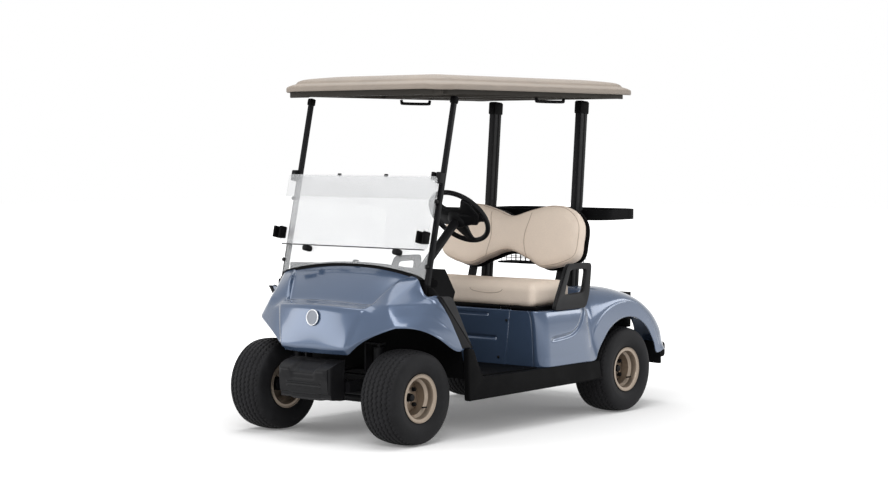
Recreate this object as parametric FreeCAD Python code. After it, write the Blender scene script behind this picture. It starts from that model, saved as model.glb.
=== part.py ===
import FreeCAD, Part
import math
import os
from FreeCAD import Placement, Rotation, Vector

# Two-seat golf cart. Nose towards -Y, driver's side +X, ground at z = 0, millimetres.
# Origin on the ground under the middle of the whole vehicle.

# Overall layout
LENGTH = 2380.0
FRONT_OVERHANG = 260.0
REAR_OVERHANG = 480.0
WHEELBASE = LENGTH - FRONT_OVERHANG - REAR_OVERHANG
TRACK_FRONT = 874.0
TRACK_REAR = 980.0
AXLE_F = FRONT_OVERHANG - LENGTH / 2
AXLE_R = AXLE_F + WHEELBASE
TAIL = LENGTH / 2
NOSE = -LENGTH / 2

# General clearances and overruns
FIT = 0.3
RUNNING = 2.5
OVERRUN = 5.0
SHEET = 4.0

# Tyres, size 18 x 8.5 - 8
TYRE_R = 228.6
TYRE_HALF = 105.5
TYRE_TREAD_HALF = 92.0
TYRE_SHOULDER_R = 213.0
TYRE_BULGE_R = 165.0
TYRE_WALL = 9.0
AXLE_Z = TYRE_R

# Rims
RIM_HALF = 95.0
RIM_FLANGE_R = 117.5
RIM_SEAT_R = 101.3
RIM_WELL_R = 86.0
RIM_FLANGE = 6.0
RIM_SEAT = 29.0
RIM_RAMP = 10.0
RIM_SHEET = 4.0
DISC_OUT = 12.0
DISC_DISH = 16.0
DISC_HUB_R = 58.0
LUG_CIRCLE_R = 50.8
LUG_HOLE_R = 6.5
LUGS = 4
HUB_R = 34.0
HUB_IN = 48.0
HUB_CAP_R = 22.0
HUB_CAP_OUT = 34.0
DRUM_R = 80.0
DRUM_IN = 62.0

# Steering knuckles and front axle
KINGPIN_IN = 92.0
KINGPIN_X = TRACK_FRONT / 2 - KINGPIN_IN
KINGPIN_R = 8.0
KINGPIN_BOSS_R = 17.0
KINGPIN_BOSS_H = 74.0
SPINDLE_R = 10.0
SPINDLE_OUT = 14.0
YOKE_PLATE = 10.0
YOKE_HALF = 18.0
YOKE_REACH = 38.0
BEAM_R = 13.0
ARM_BACK = 100.0
ARM_IN = 33.0
ARM_WIDE = 14.0
ARM_THICK = 12.0
ARM_DROP = 31.0
ROD_R = 7.5
ROD_EYE_R = 15.0
ROD_EYE_H = 16.0
RACK_R = 20.0
RACK_LONG = 300.0
RACK_FOOT = 30.0

# Ladder frame
RAIL_X = 172.0
RAIL_WIDE = 42.0
RAIL_TALL = 52.0
RAIL_Z = 242.0
RAIL_RISE = 122.0
RAIL_KICK_START = 420.0
RAIL_KICK_END = 250.0
RAIL_REAR = 395.0
CROSS_WIDE = 44.0
CROSS_TALL = 40.0

# Rear axle, engine and springs
HOUSING_R = 92.0
HOUSING_HALF = 75.0
AXLE_TUBE_R = 27.0
AXLE_SHAFT_R = 15.0
ENGINE_LONG = 330.0
ENGINE_WIDE = 280.0
ENGINE_TALL = 250.0
SPRING_R = 26.0
SPRING_ROD_R = 10.0
TOWER_WALL = 10.0
FRONT_SPRING_X = (RAIL_X + RAIL_WIDE / 2 + TOWER_WALL + TRACK_FRONT / 2 - TYRE_HALF) / 2
FRONT_SPRING_TOP = 470.0
REAR_SPRING_X = 300.0

# Floor and sills
FLOOR_Z = 302.0
FLOOR_HALF = 545.0
FLOOR_SHEET = 8.0
TOE_FOOT = 322.0
TOE_HEAD = 259.0
SILL_X = 590.0
SILL_WALL = 34.0
SILL_FRONT = 295.0
SILL_BOTTOM = 190.0
SILL_REAR = 233.0
SILL_UP = 255.0

# Front body
COWL_BACK = 70.0
COWL_FRONT = NOSE + COWL_BACK
COWL_WALL = 5.0
COWL_LONG = 318.0
COWL_TALL = 414.0
COWL_LIP_Z = 424.0
COWL_HALF = 500.0
FENDER_X = 572.0
FENDER_IN = 548.0
FENDER_LONG = 330.0
FENDER_TIP_Z = 445.5
FENDER_TALL = 245.0
NOTCH = 20.0
DASH_HALF = 448.0
DASH_LONG = 230.0
DASH_TALL = 300.0
DASH_BOTTOM = 562.0
BIN_X = -245.0
BIN_WIDE = 250.0
CUP_X = 375.0
CUP_WIDE = 110.0
BIN_DEEP = 95.0
BIN_TALL = 95.0
BIN_Z = 690.0
BUMPER_HALF = 168.0
BUMPER_LONG = 130.0
BUMPER_TALL = 190.0
BUMPER_Z = 208.0

# Steering
COLUMN_X = 260.0
WHEEL_BACK = 621.0
WHEEL_Y = AXLE_F + WHEEL_BACK
WHEEL_Z = 1068.0
WHEEL_LEAN = 49.0
WHEEL_R = 163.0
WHEEL_GRIP_R = 13.0
WHEEL_DISH = 34.0
HUB_PAD_R = 52.0
HUB_PAD_H = 30.0
SPOKES = 3
SPOKE_TURN = 90.0
SPOKE_WIDE = 44.0
SPOKE_THICK = 9.0
COLUMN_R = 22.0
COLUMN_LONG = 400.0
SHAFT_R = 11.0
CLIP_WIDE = 120.0
CLIP_TALL = 84.0
CLIP_THICK = 10.0
PEDAL_OUT = 18.5

# Seat
SEAT_BASE_Z = 583.0
SEAT_HALF = 535.0
SEAT_AHEAD = 730.0
SEAT_LONG = 345.0
SEAT_FRONT = AXLE_R - SEAT_AHEAD
SEAT_REAR = SEAT_FRONT + SEAT_LONG
SEAT_TOP = 722.0
SEAT_ROUND = 34.0
HINGE_BACK = 8.0
HINGE_Y = SEAT_FRONT + HINGE_BACK
HINGE_NOSE_R = 10.7
HINGE_PIN_R = 4.0
HINGE_LONG = 60.0
HINGE_X = 330.0
HINGE_LUG = 6.0
BACK_HALF = 532.0
BACK_LONG = 100.0
BACK_SHELL = 22.0
BACK_LEAN = 17.0
BACK_BACK = 385.0
BACK_Y = SEAT_FRONT + BACK_BACK
BACK_Z = 752.0
BACK_TALL = 372.0
BACK_POST_X = 300.0
BACK_POST_WIDE = 46.0
BACK_POST_LONG = 16.0
HIP_X = 592.0
HIP_WALL = 24.0

# Rear body
BODY_X = 592.0
BODY_WALL = 5.0
BODY_INNER = 360.0
ARCH_R = 282.0
SIDE_TALL = 383.0
SIDE_BOTTOM = 300.0
WELL_HALF = 350.0
WELL_LONG = 450.0
WELL_TOP = 610.0
REAR_BUMPER_HALF = 520.0
REAR_BUMPER_LONG = 64.0
REAR_BUMPER_TALL = 86.0
REAR_BUMPER_Z = 252.0
FLAP_TALL = 150.0
FLAP_Z = 200.0
FLAP_IN = 71.0
FLAP_SIDE = 25.0

# Struts, canopy and what hangs from them
STRUT_X = 475.0
STRUT_WIDE = 24.0
STRUT_WALL = 2.0
STRUT_LEAN = 12.95
STRUT_BACK = 100.0
STRUT_Y = AXLE_F + STRUT_BACK
STRUT_Z = 696.0
STRUT_FOOT = 100.0
POST_X = 295.0
POST_WIDE = 38.0
POST_DEEP = 62.0
POST_WALL = 3.0
POST_LEAN = 4.8
POST_AHEAD = 116.0
POST_Y = AXLE_R - POST_AHEAD
POST_Z = 455.0
CANOPY_HALF = 545.0
CANOPY_AHEAD = 140.0
CANOPY_BACK = 162.0
CANOPY_FRONT = AXLE_F + CANOPY_AHEAD
CANOPY_REAR = AXLE_R + CANOPY_BACK
CANOPY_Z = 1712.0
CANOPY_CORNER = 110.0
CANOPY_WALL = 5.0
CANOPY_TALL = 68.0
LINER_DEEP = 46.0
LINER_WIDE = 90.0
LINER_HALF = 500.0
HANDLE_BACK = 210.0
HANDLE_Y = SEAT_FRONT + HANDLE_BACK
HANDLE_LONG = 230.0
HANDLE_R = 9.0
HANDLE_DROP = 34.0

# Windshield
GLASS = 5.0
GLASS_HALF = 492.0
GLASS_FOOT = 118.0
GLASS_HINGE = 590.0
GLASS_GAP = 5.0
FOLD_GAP = 34.0
FOLD_LONG = 360.0
FOLD_PIN = 10.0
PIN_R = 4.0
PIN_PLAY = 0.05
CLIP_SIDE = 20.0
LATCH_WIDE = 56.0
LATCH_DEEP = 44.0
LATCH_TALL = 58.0
LATCH_UP = 300.0
BUFFER_R = 14.0
BUFFER_X = 299.0
BUFFER_UP = 245.0

# Bag holder and basket
RING_Z = 1020.0
RING_TALL = 55.0
RING_WALL = 5.0
RING_HALF = 430.0
RING_LONG = 400.0
RING_CORNER = 120.0
BASKET_HALF = 322.0
BASKET_LONG = 210.0
BASKET_TALL = 90.0
BASKET_Z = 770.0
BASKET_BAR = 8.0

# Outlines as shares of the length and height of the piece that they belong to
COWL_STATION_SHARES = [0.0, 0.25, 0.412, 0.49, 0.6, 0.74, 0.88, 0.98, 1.06, 1.12]
COWL_SECTION_SHARES = [
    [(0.057, 0.0), (0.0, 0.068), (0.009, 0.292), (0.063, 0.514), (0.236, 0.589), (0.409, 0.589),
     (0.629, 0.775), (0.833, 0.923), (1.0, 1.0)],
    [(0.069, 0.0), (0.0, 0.068), (0.025, 0.292), (0.085, 0.517), (0.25, 0.583), (0.414, 0.587),
     (0.624, 0.77), (0.827, 0.916), (0.99, 0.989)],
    [(0.111, 0.004), (0.006, 0.07), (0.064, 0.292), (0.129, 0.514), (0.276, 0.57), (0.425, 0.582),
     (0.615, 0.754), (0.821, 0.905), (0.983, 0.981)],
    [(0.122, 0.081), (0.06, 0.122), (0.102, 0.295), (0.152, 0.513), (0.291, 0.562), (0.431, 0.579),
     (0.609, 0.741), (0.815, 0.889), (0.974, 0.967)],
    [(0.132, 0.196), (0.113, 0.218), (0.145, 0.313), (0.209, 0.488), (0.314, 0.565), (0.415, 0.618),
     (0.599, 0.723), (0.806, 0.867), (0.962, 0.947)],
    [(0.231, 0.264), (0.219, 0.29), (0.244, 0.365), (0.278, 0.459), (0.319, 0.539), (0.367, 0.604),
     (0.52, 0.729), (0.748, 0.869), (0.947, 0.921)],
    [(0.33, 0.333), (0.327, 0.36), (0.367, 0.415), (0.421, 0.475), (0.486, 0.539), (0.54, 0.599),
     (0.647, 0.685), (0.76, 0.771), (0.872, 0.879)],
    [(0.451, 0.336), (0.448, 0.362), (0.497, 0.42), (0.566, 0.487), (0.654, 0.546), (0.713, 0.608),
     (0.759, 0.672), (0.788, 0.696), (0.833, 0.7)],
    [(0.537, 0.329), (0.523, 0.354), (0.534, 0.417), (0.582, 0.493), (0.645, 0.553), (0.708, 0.616),
     (0.743, 0.652), (0.773, 0.673), (0.852, 0.688)],
    [(0.647, 0.317), (0.63, 0.342), (0.632, 0.405), (0.645, 0.482), (0.679, 0.547), (0.708, 0.611),
     (0.736, 0.644), (0.773, 0.664), (0.881, 0.688)],
]
FENDER_OUTLINE_SHARES = [
    (0.055, 0.447), (0.048, 0.59), (0.064, 0.72), (0.085, 0.835), (0.112, 0.957), (0.158, 1.047),
    (0.255, 1.088), (0.306, 1.088), (0.47, 0.782), (0.615, 0.488), (0.761, 0.19), (0.848, 0.0),
    (0.806, 0.0), (0.621, 0.124), (0.403, 0.259), (0.212, 0.373),
]
BUMPER_SECTION_SHARES = [
    (1.0, 1.0), (0.6, 0.95), (0.28, 0.865), (0.06, 0.78), (0.01, 0.715), (0.0, 0.68), (0.03, 0.63),
    (0.08, 0.515), (0.11, 0.265), (0.13, 0.185), (0.22, 0.147), (0.24, 0.075), (0.31, 0.01),
    (1.0, 0.0),
]
BUMPER_PLAN_SHARES = [(1.0, 1.0), (1.0, 0.35), (0.95, 0.14), (0.83, 0.03), (0.6, 0.0)]
SILL_OUTLINE_SHARES = [
    (0.023, 0.0), (1.0, 0.035), (0.975, 0.43), (0.1, 0.43), (0.033, 1.0), (-0.02, 1.0), (0.0, 0.0),
]
TRIM_OUTLINE_SHARES = [
    (0.324, 1.12), (0.479, 0.798), (0.624, 0.504), (0.77, 0.206), (0.861, 0.001), (0.93, 0.001),
    (0.761, 0.378), (0.615, 0.676), (0.433, 1.002), (0.297, 1.231),
]
SIDE_CREST_SHARES = [
    (0.0, 0.739), (0.101, 0.739), (0.187, 0.739), (0.264, 0.739), (0.32, 0.739), (0.333, 0.888),
    (0.371, 0.995), (0.488, 0.995), (0.61, 0.945), (0.752, 0.825), (0.883, 0.634), (0.967, 0.405),
    (0.993, 0.17), (1.0, 0.0),
]
SIDE_FLARE_SHARES = [
    (0.01, 0.692), (0.111, 0.692), (0.209, 0.692), (0.294, 0.692), (0.352, 0.679), (0.371, 0.627),
    (0.402, 0.587), (0.47, 0.658), (0.591, 0.768), (0.72, 0.71), (0.823, 0.491), (0.881, 0.222),
    (0.905, 0.078), (0.94, 0.0),
]
SIDE_CREST_WIDTH_SHARES = [
    0.914, 0.914, 0.914, 0.914, 0.86, 0.6, 0.47, 0.45, 0.45, 0.45, 0.46, 0.49, 0.51, 0.53,
]
SIDE_STATION_SHARES = [0.0, 0.45, 0.62, 0.76, 0.87, 0.94, 0.98, 1.0]
CANOPY_RING_SHARES = [
    (0.0, 0.0), (0.012, 0.28), (0.045, 0.38), (0.085, 0.45), (0.115, 0.64), (0.17, 0.76), (0.4, 0.92),
    (0.72, 1.0),
]
BACK_OUTLINE_SHARES = [
    (0.0, 0.8), (0.25, 0.93), (0.53, 1.0), (0.8, 0.95), (0.97, 0.78), (1.0, 0.48), (0.93, 0.14),
    (0.63, 0.0), (0.35, 0.1), (0.0, 0.26),
]
HIP_OUTLINE_SHARES = [(0.0, 0.0), (0.36, 1.0), (1.0, 1.0), (0.94, 0.33), (0.84, 0.0)]
HIP_HOLE_SHARES = [(0.33, 0.3), (0.57, 0.86), (0.84, 0.83), (0.77, 0.37)]
HIP_BACK = 73.0
HIP_Y = SEAT_FRONT + HIP_BACK
HIP_LONG = 322.0
HIP_TALL = 235.0


def block(x0, x1, y0, y1, z0, z1):
    """Box between two corners."""
    return Part.makeBox(x1 - x0, y1 - y0, z1 - z0, Vector(x0, y0, z0))


def rod(start, end, radius):
    """Round bar between two points."""
    along = Vector(*end) - Vector(*start)
    return Part.makeCylinder(radius, along.Length, Vector(*start), along)


def mirrored(shape):
    """The same shape on the other side of the vehicle."""
    return shape.mirror(Vector(0, 0, 0), Vector(1, 0, 0))


def pair(shape):
    """A shape and its mirror image, as two separate solids."""
    return Part.makeCompound([shape, mirrored(shape)])


def fused(shapes):
    """One shape from several that touch."""
    whole = shapes[0].multiFuse(shapes[1:]) if len(shapes) > 1 else shapes[0]
    return whole.removeSplitter()


def closed_wire(points):
    """Closed polygon through Vectors."""
    return Part.makePolygon(points + [points[0]])


def side_plate(points, x0, x1):
    """Plate with an outline in the YZ plane, between two X positions."""
    face = Part.Face(closed_wire([Vector(x0, y, z) for y, z in points]))
    return face.extrude(Vector(x1 - x0, 0, 0))


def scaled(shares, start, base, long, tall):
    """Outline points from shares of a piece's length and height."""
    return [(start + u * long, base + v * tall) for u, v in shares]


def tilted(shape, origin, degrees):
    """Shape built upright about its own origin, leaned back about X and moved to its place."""
    placed = shape.copy()
    place = Placement(Vector(*origin), Rotation(Vector(1, 0, 0), -degrees))
    placed.Placement = place.multiply(placed.Placement)
    return placed


def wheel_profile(points):
    """Face in the XY plane of (across, radius) points, for turning about X."""
    return Part.Face(closed_wire([Vector(across, radius, 0) for across, radius in points]))


def turned(face, x, y):
    """Profile turned about X and moved to a wheel centre."""
    solid = face.revolve(Vector(0, 0, 0), Vector(1, 0, 0))
    solid.translate(Vector(x, y, AXLE_Z))
    return solid


def arc(a, b, c):
    """Arc through three (across, radius) points."""
    return Part.Arc(Vector(*a, 0), Vector(*b, 0), Vector(*c, 0)).toShape()


def line(a, b):
    """Straight edge between two (across, radius) points."""
    return Part.makeLine(Vector(*a, 0), Vector(*b, 0))


def tyre(x, y):
    """Tyre with bulged sidewalls, open towards the rim."""
    bead = RIM_HALF - RIM_FLANGE - FIT
    inner = bead - TYRE_WALL
    seat = RIM_SEAT_R + FIT
    lip = RIM_FLANGE_R + FIT
    edges = []
    for side in (-1, 1):
        edges.append(line((side * bead, seat), (side * bead, lip)))
        edges.append(arc((side * bead, lip), (side * TYRE_HALF, TYRE_BULGE_R),
                         (side * TYRE_TREAD_HALF, TYRE_SHOULDER_R)))
        edges.append(line((side * bead, seat), (side * inner, seat)))
        edges.append(arc((side * inner, seat), (side * (TYRE_HALF - TYRE_WALL), TYRE_BULGE_R),
                         (side * (TYRE_TREAD_HALF - TYRE_WALL), TYRE_SHOULDER_R - TYRE_WALL)))
    for wall in (0, TYRE_WALL):
        half = TYRE_TREAD_HALF - wall
        shoulder = TYRE_SHOULDER_R - wall
        edges.append(arc((-half, shoulder), (0, TYRE_R - wall), (half, shoulder)))
    face = Part.Face(Part.Wire(Part.sortEdges(edges)[0]))
    return turned(face, x, y)


def rim_barrel():
    """Pressed steel barrel of the rim, with flanges, bead seats and a drop centre."""
    flange = RIM_HALF - RIM_FLANGE
    seat_end = flange - RIM_SEAT
    well_end = seat_end - RIM_RAMP
    half = [(RIM_HALF, RIM_FLANGE_R), (flange, RIM_FLANGE_R), (flange, RIM_SEAT_R), (seat_end, RIM_SEAT_R),
            (well_end, RIM_WELL_R)]
    lip = flange + RIM_SHEET / 2
    flange_in, seat_in = RIM_FLANGE_R - RIM_SHEET, RIM_SEAT_R - RIM_SHEET
    back = [(well_end, RIM_WELL_R - RIM_SHEET), (seat_end, seat_in), (lip, seat_in), (lip, flange_in),
            (RIM_HALF, flange_in)]
    outer = half + [(-across, radius) for across, radius in reversed(half)]
    inner = [(-across, radius) for across, radius in reversed(back)] + back
    return wheel_profile(outer + inner)


def rim_disc():
    """Dished disc of the rim with its hub flange."""
    well = RIM_WELL_R - RIM_SHEET / 2
    edge = DISC_OUT - DISC_DISH
    back = DISC_OUT - RIM_SHEET
    front_side = [(DISC_OUT, HUB_CAP_R), (DISC_OUT, DISC_HUB_R), (edge, well)]
    return wheel_profile(front_side + [(edge - RIM_SHEET, well), (back, DISC_HUB_R), (back, HUB_CAP_R)])


def rim(side, middle_x, middle_y, hub_inner, hub_radius, bore):
    """Rim of one wheel with its hub or brake drum, outer face towards the given side."""
    back = DISC_OUT - RIM_SHEET
    hub = rod((-hub_inner, 0, AXLE_Z), (back, 0, AXLE_Z), hub_radius)
    cap = rod((back, 0, AXLE_Z), (back + HUB_CAP_OUT, 0, AXLE_Z), HUB_CAP_R)
    whole = fused([turned(rim_barrel(), 0, 0), turned(rim_disc(), 0, 0), hub, cap])
    if hub_radius < LUG_CIRCLE_R:
        for number in range(LUGS):
            angle = 2 * math.pi * (number + 1 / 2) / LUGS
            y, z = LUG_CIRCLE_R * math.cos(angle), AXLE_Z + LUG_CIRCLE_R * math.sin(angle)
            whole = whole.cut(rod((-HUB_IN, y, z), (HUB_CAP_OUT, y, z), LUG_HOLE_R))
    whole = whole.cut(rod((-hub_inner - OVERRUN, 0, AXLE_Z), (SPINDLE_OUT, 0, AXLE_Z), bore))
    if side < 0:
        whole = mirrored(whole)
    whole.translate(Vector(middle_x, middle_y, 0))
    return whole


def knuckle(side):
    """Steering knuckle: kingpin boss, spindle and steering arm."""
    x = side * KINGPIN_X
    hub_x = TRACK_FRONT / 2 - HUB_IN
    half = KINGPIN_BOSS_H / 2
    tip_x = side * (TRACK_FRONT / 2 + SPINDLE_OUT - FIT)
    boss = rod((x, AXLE_F, AXLE_Z - half), (x, AXLE_F, AXLE_Z + half), KINGPIN_BOSS_R)
    spindle = rod((x, AXLE_F, AXLE_Z), (tip_x, AXLE_F, AXLE_Z), SPINDLE_R)
    collar = rod((x, AXLE_F, AXLE_Z), (side * (hub_x - FIT), AXLE_F, AXLE_Z), SPINDLE_R + SHEET)
    arm_z = AXLE_Z - ARM_DROP
    eye = (x - side * ARM_IN, AXLE_F + ARM_BACK)
    long = math.hypot(ARM_IN, ARM_BACK)
    arm = block(-ARM_WIDE / 2, ARM_WIDE / 2, 0, long, -ARM_THICK / 2, ARM_THICK / 2)
    arm.rotate(Vector(0, 0, 0), Vector(0, 0, 1), side * math.degrees(math.atan2(ARM_IN, ARM_BACK)))
    arm.translate(Vector(x, AXLE_F, arm_z))
    tip = rod((*eye, arm_z - ARM_THICK / 2), (*eye, arm_z + ARM_THICK / 2), ROD_EYE_R)
    whole = fused([boss, spindle, collar, arm, tip])
    return whole.cut(rod((x, AXLE_F, 0), (x, AXLE_F, 2 * AXLE_Z), KINGPIN_R + FIT))


def steering_rack():
    """Rack bar with a tie rod end under each steering arm."""
    end_x = KINGPIN_X - ARM_IN
    y = AXLE_F + ARM_BACK
    top = AXLE_Z - ARM_DROP - ARM_THICK / 2 - FIT
    z = top - ROD_EYE_H / 2
    bar = rod((-end_x, y, z), (end_x, y, z), ROD_R)
    eyes = [rod((side * end_x, y, top - ROD_EYE_H), (side * end_x, y, top), ROD_EYE_R) for side in (-1, 1)]
    return fused([bar] + eyes)


def rack_housing():
    """Tube that carries the rack, on two feet under the rails."""
    y = AXLE_F + ARM_BACK
    z = AXLE_Z - ARM_DROP - ARM_THICK / 2 - FIT - ROD_EYE_H / 2
    half = RACK_LONG / 2
    tube = rod((-half, y, z), (half, y, z), RACK_R)
    feet = [block(side * RAIL_X / 2 - RACK_FOOT / 2, side * RAIL_X / 2 + RACK_FOOT / 2, y - RACK_FOOT / 2,
                  y + RACK_FOOT / 2, z, RAIL_Z) for side in (-1, 1)]
    bridge = block(-RAIL_X, RAIL_X, y - RACK_FOOT / 2, y + RACK_FOOT / 2, RAIL_Z - SHEET, RAIL_Z)
    return fused([tube, bridge] + feet).cut(rod((-LENGTH, y, z), (LENGTH, y, z), ROD_R + RUNNING))


def front_axle():
    """Cross beam with a yoke and kingpin at each end."""
    inner = KINGPIN_X - YOKE_REACH
    beam = rod((-inner, AXLE_F, AXLE_Z), (inner, AXLE_F, AXLE_Z), BEAM_R)
    parts = [beam]
    half = KINGPIN_BOSS_H / 2 + FIT
    for side in (-1, 1):
        near, far = sorted((side * inner, side * (KINGPIN_X + YOKE_HALF)))
        web = sorted((side * (inner - YOKE_PLATE), side * inner))
        parts.append(block(*web, AXLE_F - YOKE_HALF, AXLE_F + YOKE_HALF, AXLE_Z - half - YOKE_PLATE,
                           AXLE_Z + half + YOKE_PLATE))
        for z in (AXLE_Z - half - YOKE_PLATE, AXLE_Z + half):
            parts.append(block(near, far, AXLE_F - YOKE_HALF, AXLE_F + YOKE_HALF, z, z + YOKE_PLATE))
        parts.append(rod((side * KINGPIN_X, AXLE_F, AXLE_Z - half - YOKE_PLATE),
                         (side * KINGPIN_X, AXLE_F, AXLE_Z + half + YOKE_PLATE), KINGPIN_R))
    saddle = block(-RAIL_X - RAIL_WIDE / 2, RAIL_X + RAIL_WIDE / 2, AXLE_F - BEAM_R, AXLE_F + BEAM_R,
                   AXLE_Z - BEAM_R / 2, RAIL_Z - FIT)
    return fused(parts + [saddle])


def rail_outline():
    """Side view of one rail: level under the floor, kicked up over the rear axle."""
    front = NOSE + BUMPER_LONG + FIT
    start = AXLE_R - RAIL_KICK_START
    end = AXLE_R - RAIL_KICK_END
    rear = AXLE_R + RAIL_REAR
    low = [(front, RAIL_Z), (start, RAIL_Z), (end, RAIL_Z + RAIL_RISE), (rear, RAIL_Z + RAIL_RISE)]
    return low + [(y, z + RAIL_TALL) for y, z in reversed(low)]


def frame():
    """Ladder frame: two rails, cross members, floor outriggers and spring towers."""
    parts = [side_plate(rail_outline(), side * RAIL_X - RAIL_WIDE / 2, side * RAIL_X + RAIL_WIDE / 2)
             for side in (-1, 1)]
    low, high = RAIL_Z, RAIL_Z + RAIL_RISE
    front = NOSE + BUMPER_LONG + FIT
    steering = AXLE_F + ARM_BACK + RACK_FOOT
    middle = AXLE_F + WHEELBASE / 3
    kick = AXLE_R - RAIL_KICK_START - CROSS_WIDE * 2
    rear = AXLE_R + RAIL_REAR - CROSS_WIDE
    for y, z in ((front, low), (steering, low), (middle, low), (kick, low), (rear, high)):
        parts.append(block(-RAIL_X, RAIL_X, y, y + CROSS_WIDE, z + RAIL_TALL - CROSS_TALL, z + RAIL_TALL))
    for y in (middle, kick):
        parts.append(block(-FLOOR_HALF, FLOOR_HALF, y, y + CROSS_WIDE, low + RAIL_TALL - CROSS_TALL / 2,
                           low + RAIL_TALL))
    cradle = engine_front()
    parts.append(block(-RAIL_X, RAIL_X, cradle, cradle + CROSS_WIDE, low - CROSS_TALL / 2, low))
    reach = REAR_SPRING_X + SPRING_R
    front, rear = AXLE_R - CROSS_WIDE / 2, AXLE_R + CROSS_WIDE / 2
    parts.append(block(-reach, reach, front, rear, rear_spring_top() + FIT, high + RAIL_TALL))
    wall = RAIL_X + RAIL_WIDE / 2
    reach = FRONT_SPRING_X + SPRING_R
    front, rear = AXLE_F - CROSS_WIDE / 2, AXLE_F + CROSS_WIDE / 2
    top = FRONT_SPRING_TOP + TOWER_WALL
    tower = fused([block(wall, wall + TOWER_WALL, front, rear, low, top),
                   block(wall, reach, front, rear, FRONT_SPRING_TOP + FIT, top)])
    return fused(parts + [tower, mirrored(tower)])


def rear_spring_top():
    """Height of the rear springs' upper seats."""
    return RAIL_Z + RAIL_RISE + RAIL_TALL - CROSS_TALL / 2


def engine_front():
    """Front face of the engine, which is bolted to the transaxle."""
    return AXLE_R - HOUSING_R - FIT - ENGINE_LONG


def rear_axle():
    """Transaxle housing with an axle tube and shaft to each rear wheel."""
    tube_end = TRACK_REAR / 2 - DRUM_IN - RUNNING
    shaft_end = TRACK_REAR / 2 - DRUM_IN + SPINDLE_OUT
    housing = rod((-HOUSING_HALF, AXLE_R, AXLE_Z), (HOUSING_HALF, AXLE_R, AXLE_Z), HOUSING_R)
    return fused([housing, rod((-tube_end, AXLE_R, AXLE_Z), (tube_end, AXLE_R, AXLE_Z), AXLE_TUBE_R),
                  rod((-shaft_end, AXLE_R, AXLE_Z), (shaft_end, AXLE_R, AXLE_Z), AXLE_SHAFT_R)])


def springs(x, y, low, top):
    """Pair of coil-over dampers standing on an axle."""
    coil = rod((x, y, low + SPRING_R / 2), (x, y, top - SPRING_R / 2), SPRING_R)
    return pair(fused([coil, rod((x, y, low + FIT), (x, y, top), SPRING_ROD_R)]))


def engine():
    """Engine as one plain block between the rails, ahead of the rear axle."""
    front = engine_front()
    half = ENGINE_WIDE / 2
    return block(-half, half, front, front + ENGINE_LONG, RAIL_Z + FIT, RAIL_Z + ENGINE_TALL)


def floor():
    """Floor pan from the toe board to the seat base."""
    toe = AXLE_F + TOE_FOOT
    head = AXLE_F + TOE_HEAD
    seat = front_panel_points()[0][0] - FIT * 2
    upper = [(head, DASH_BOTTOM - FIT), (toe, FLOOR_Z), (seat, FLOOR_Z)]
    lower = [(y - FLOOR_SHEET, z) for y, z in upper[:1]]
    lower += [(toe - FLOOR_SHEET, FLOOR_Z - FLOOR_SHEET), (seat, FLOOR_Z - FLOOR_SHEET)]
    return side_plate(upper + lower[::-1], -FLOOR_HALF, FLOOR_HALF)


def front_panel_points():
    """Slope of the seat base's front, foot first."""
    return [(SEAT_FRONT + SEAT_ROUND, SIDE_BOTTOM), (SEAT_FRONT - SEAT_ROUND / 2, SEAT_BASE_Z)]


def sills():
    """Sill skirts, each with the mud guard that rises at its front."""
    front = AXLE_F + SILL_FRONT
    outline = scaled(SILL_OUTLINE_SHARES, front, SILL_BOTTOM, AXLE_R - SILL_REAR - front, SILL_UP)
    return pair(side_plate(outline, SILL_X - SILL_WALL, SILL_X))


def fender_outline(shares):
    """Side-view outline placed by the fender's own length and height."""
    return scaled(shares, AXLE_F, FENDER_TIP_Z, FENDER_LONG, FENDER_TALL)


def pillar_trims():
    """Trim bands from the dash corners down to the mud guards."""
    return pair(side_plate(fender_outline(TRIM_OUTLINE_SHARES), FENDER_IN, FENDER_X))


def cowl_sections(wall, over):
    """Closed side-view sections of the cowl, set in by a wall and run out past its open sides."""
    sections = []
    for station, shares in zip(COWL_STATION_SHARES, COWL_SECTION_SHARES):
        points = scaled(shares, COWL_FRONT, COWL_LIP_Z, COWL_LONG, COWL_TALL)
        (lip_y, lip_z), *middle, (top_y, top_z) = points
        shell = [(lip_y + wall, lip_z - over)] + [(y + wall, z - wall / 2) for y, z in middle]
        shell += [(top_y + over, top_z - wall), (top_y + over, lip_z - over)]
        sections.append((station * COWL_HALF, shell))
    left = [(-x, shell) for x, shell in reversed(sections[1:])]
    return left + sections


def section_loft(sections, straight):
    """Solid through side-view sections at several X positions, with straight or smooth lines between them."""
    wires = [closed_wire([Vector(x, y, z) for y, z in shell]) for x, shell in sections]
    return Part.makeLoft(wires, True, straight)


def front_cowl():
    """Moulded front cowl with its two fenders, notched round the struts."""
    room = section_loft(cowl_sections(COWL_WALL, OVERRUN), False)
    hood = section_loft(cowl_sections(0, 0), False).cut(room)
    trim_front = fender_outline(TRIM_OUTLINE_SHARES)[0][0] - FIT
    beside = block(FENDER_IN - FIT, FENDER_X, trim_front, SEAT_FRONT, 0, LENGTH)
    fender = side_plate(fender_outline(FENDER_OUTLINE_SHARES), FENDER_IN, FENDER_X)
    whole = fused([hood.cut(pair(beside)), fender, mirrored(fender)])
    reach = STRUT_X + STRUT_WIDE / 2 + RUNNING
    top = COWL_LIP_Z + COWL_TALL + OVERRUN
    notch = block(DASH_HALF, reach, STRUT_Y - NOTCH, STRUT_Y + NOTCH * 2, STRUT_Z - RUNNING, top)
    return whole.cut(pair(notch))


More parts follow.
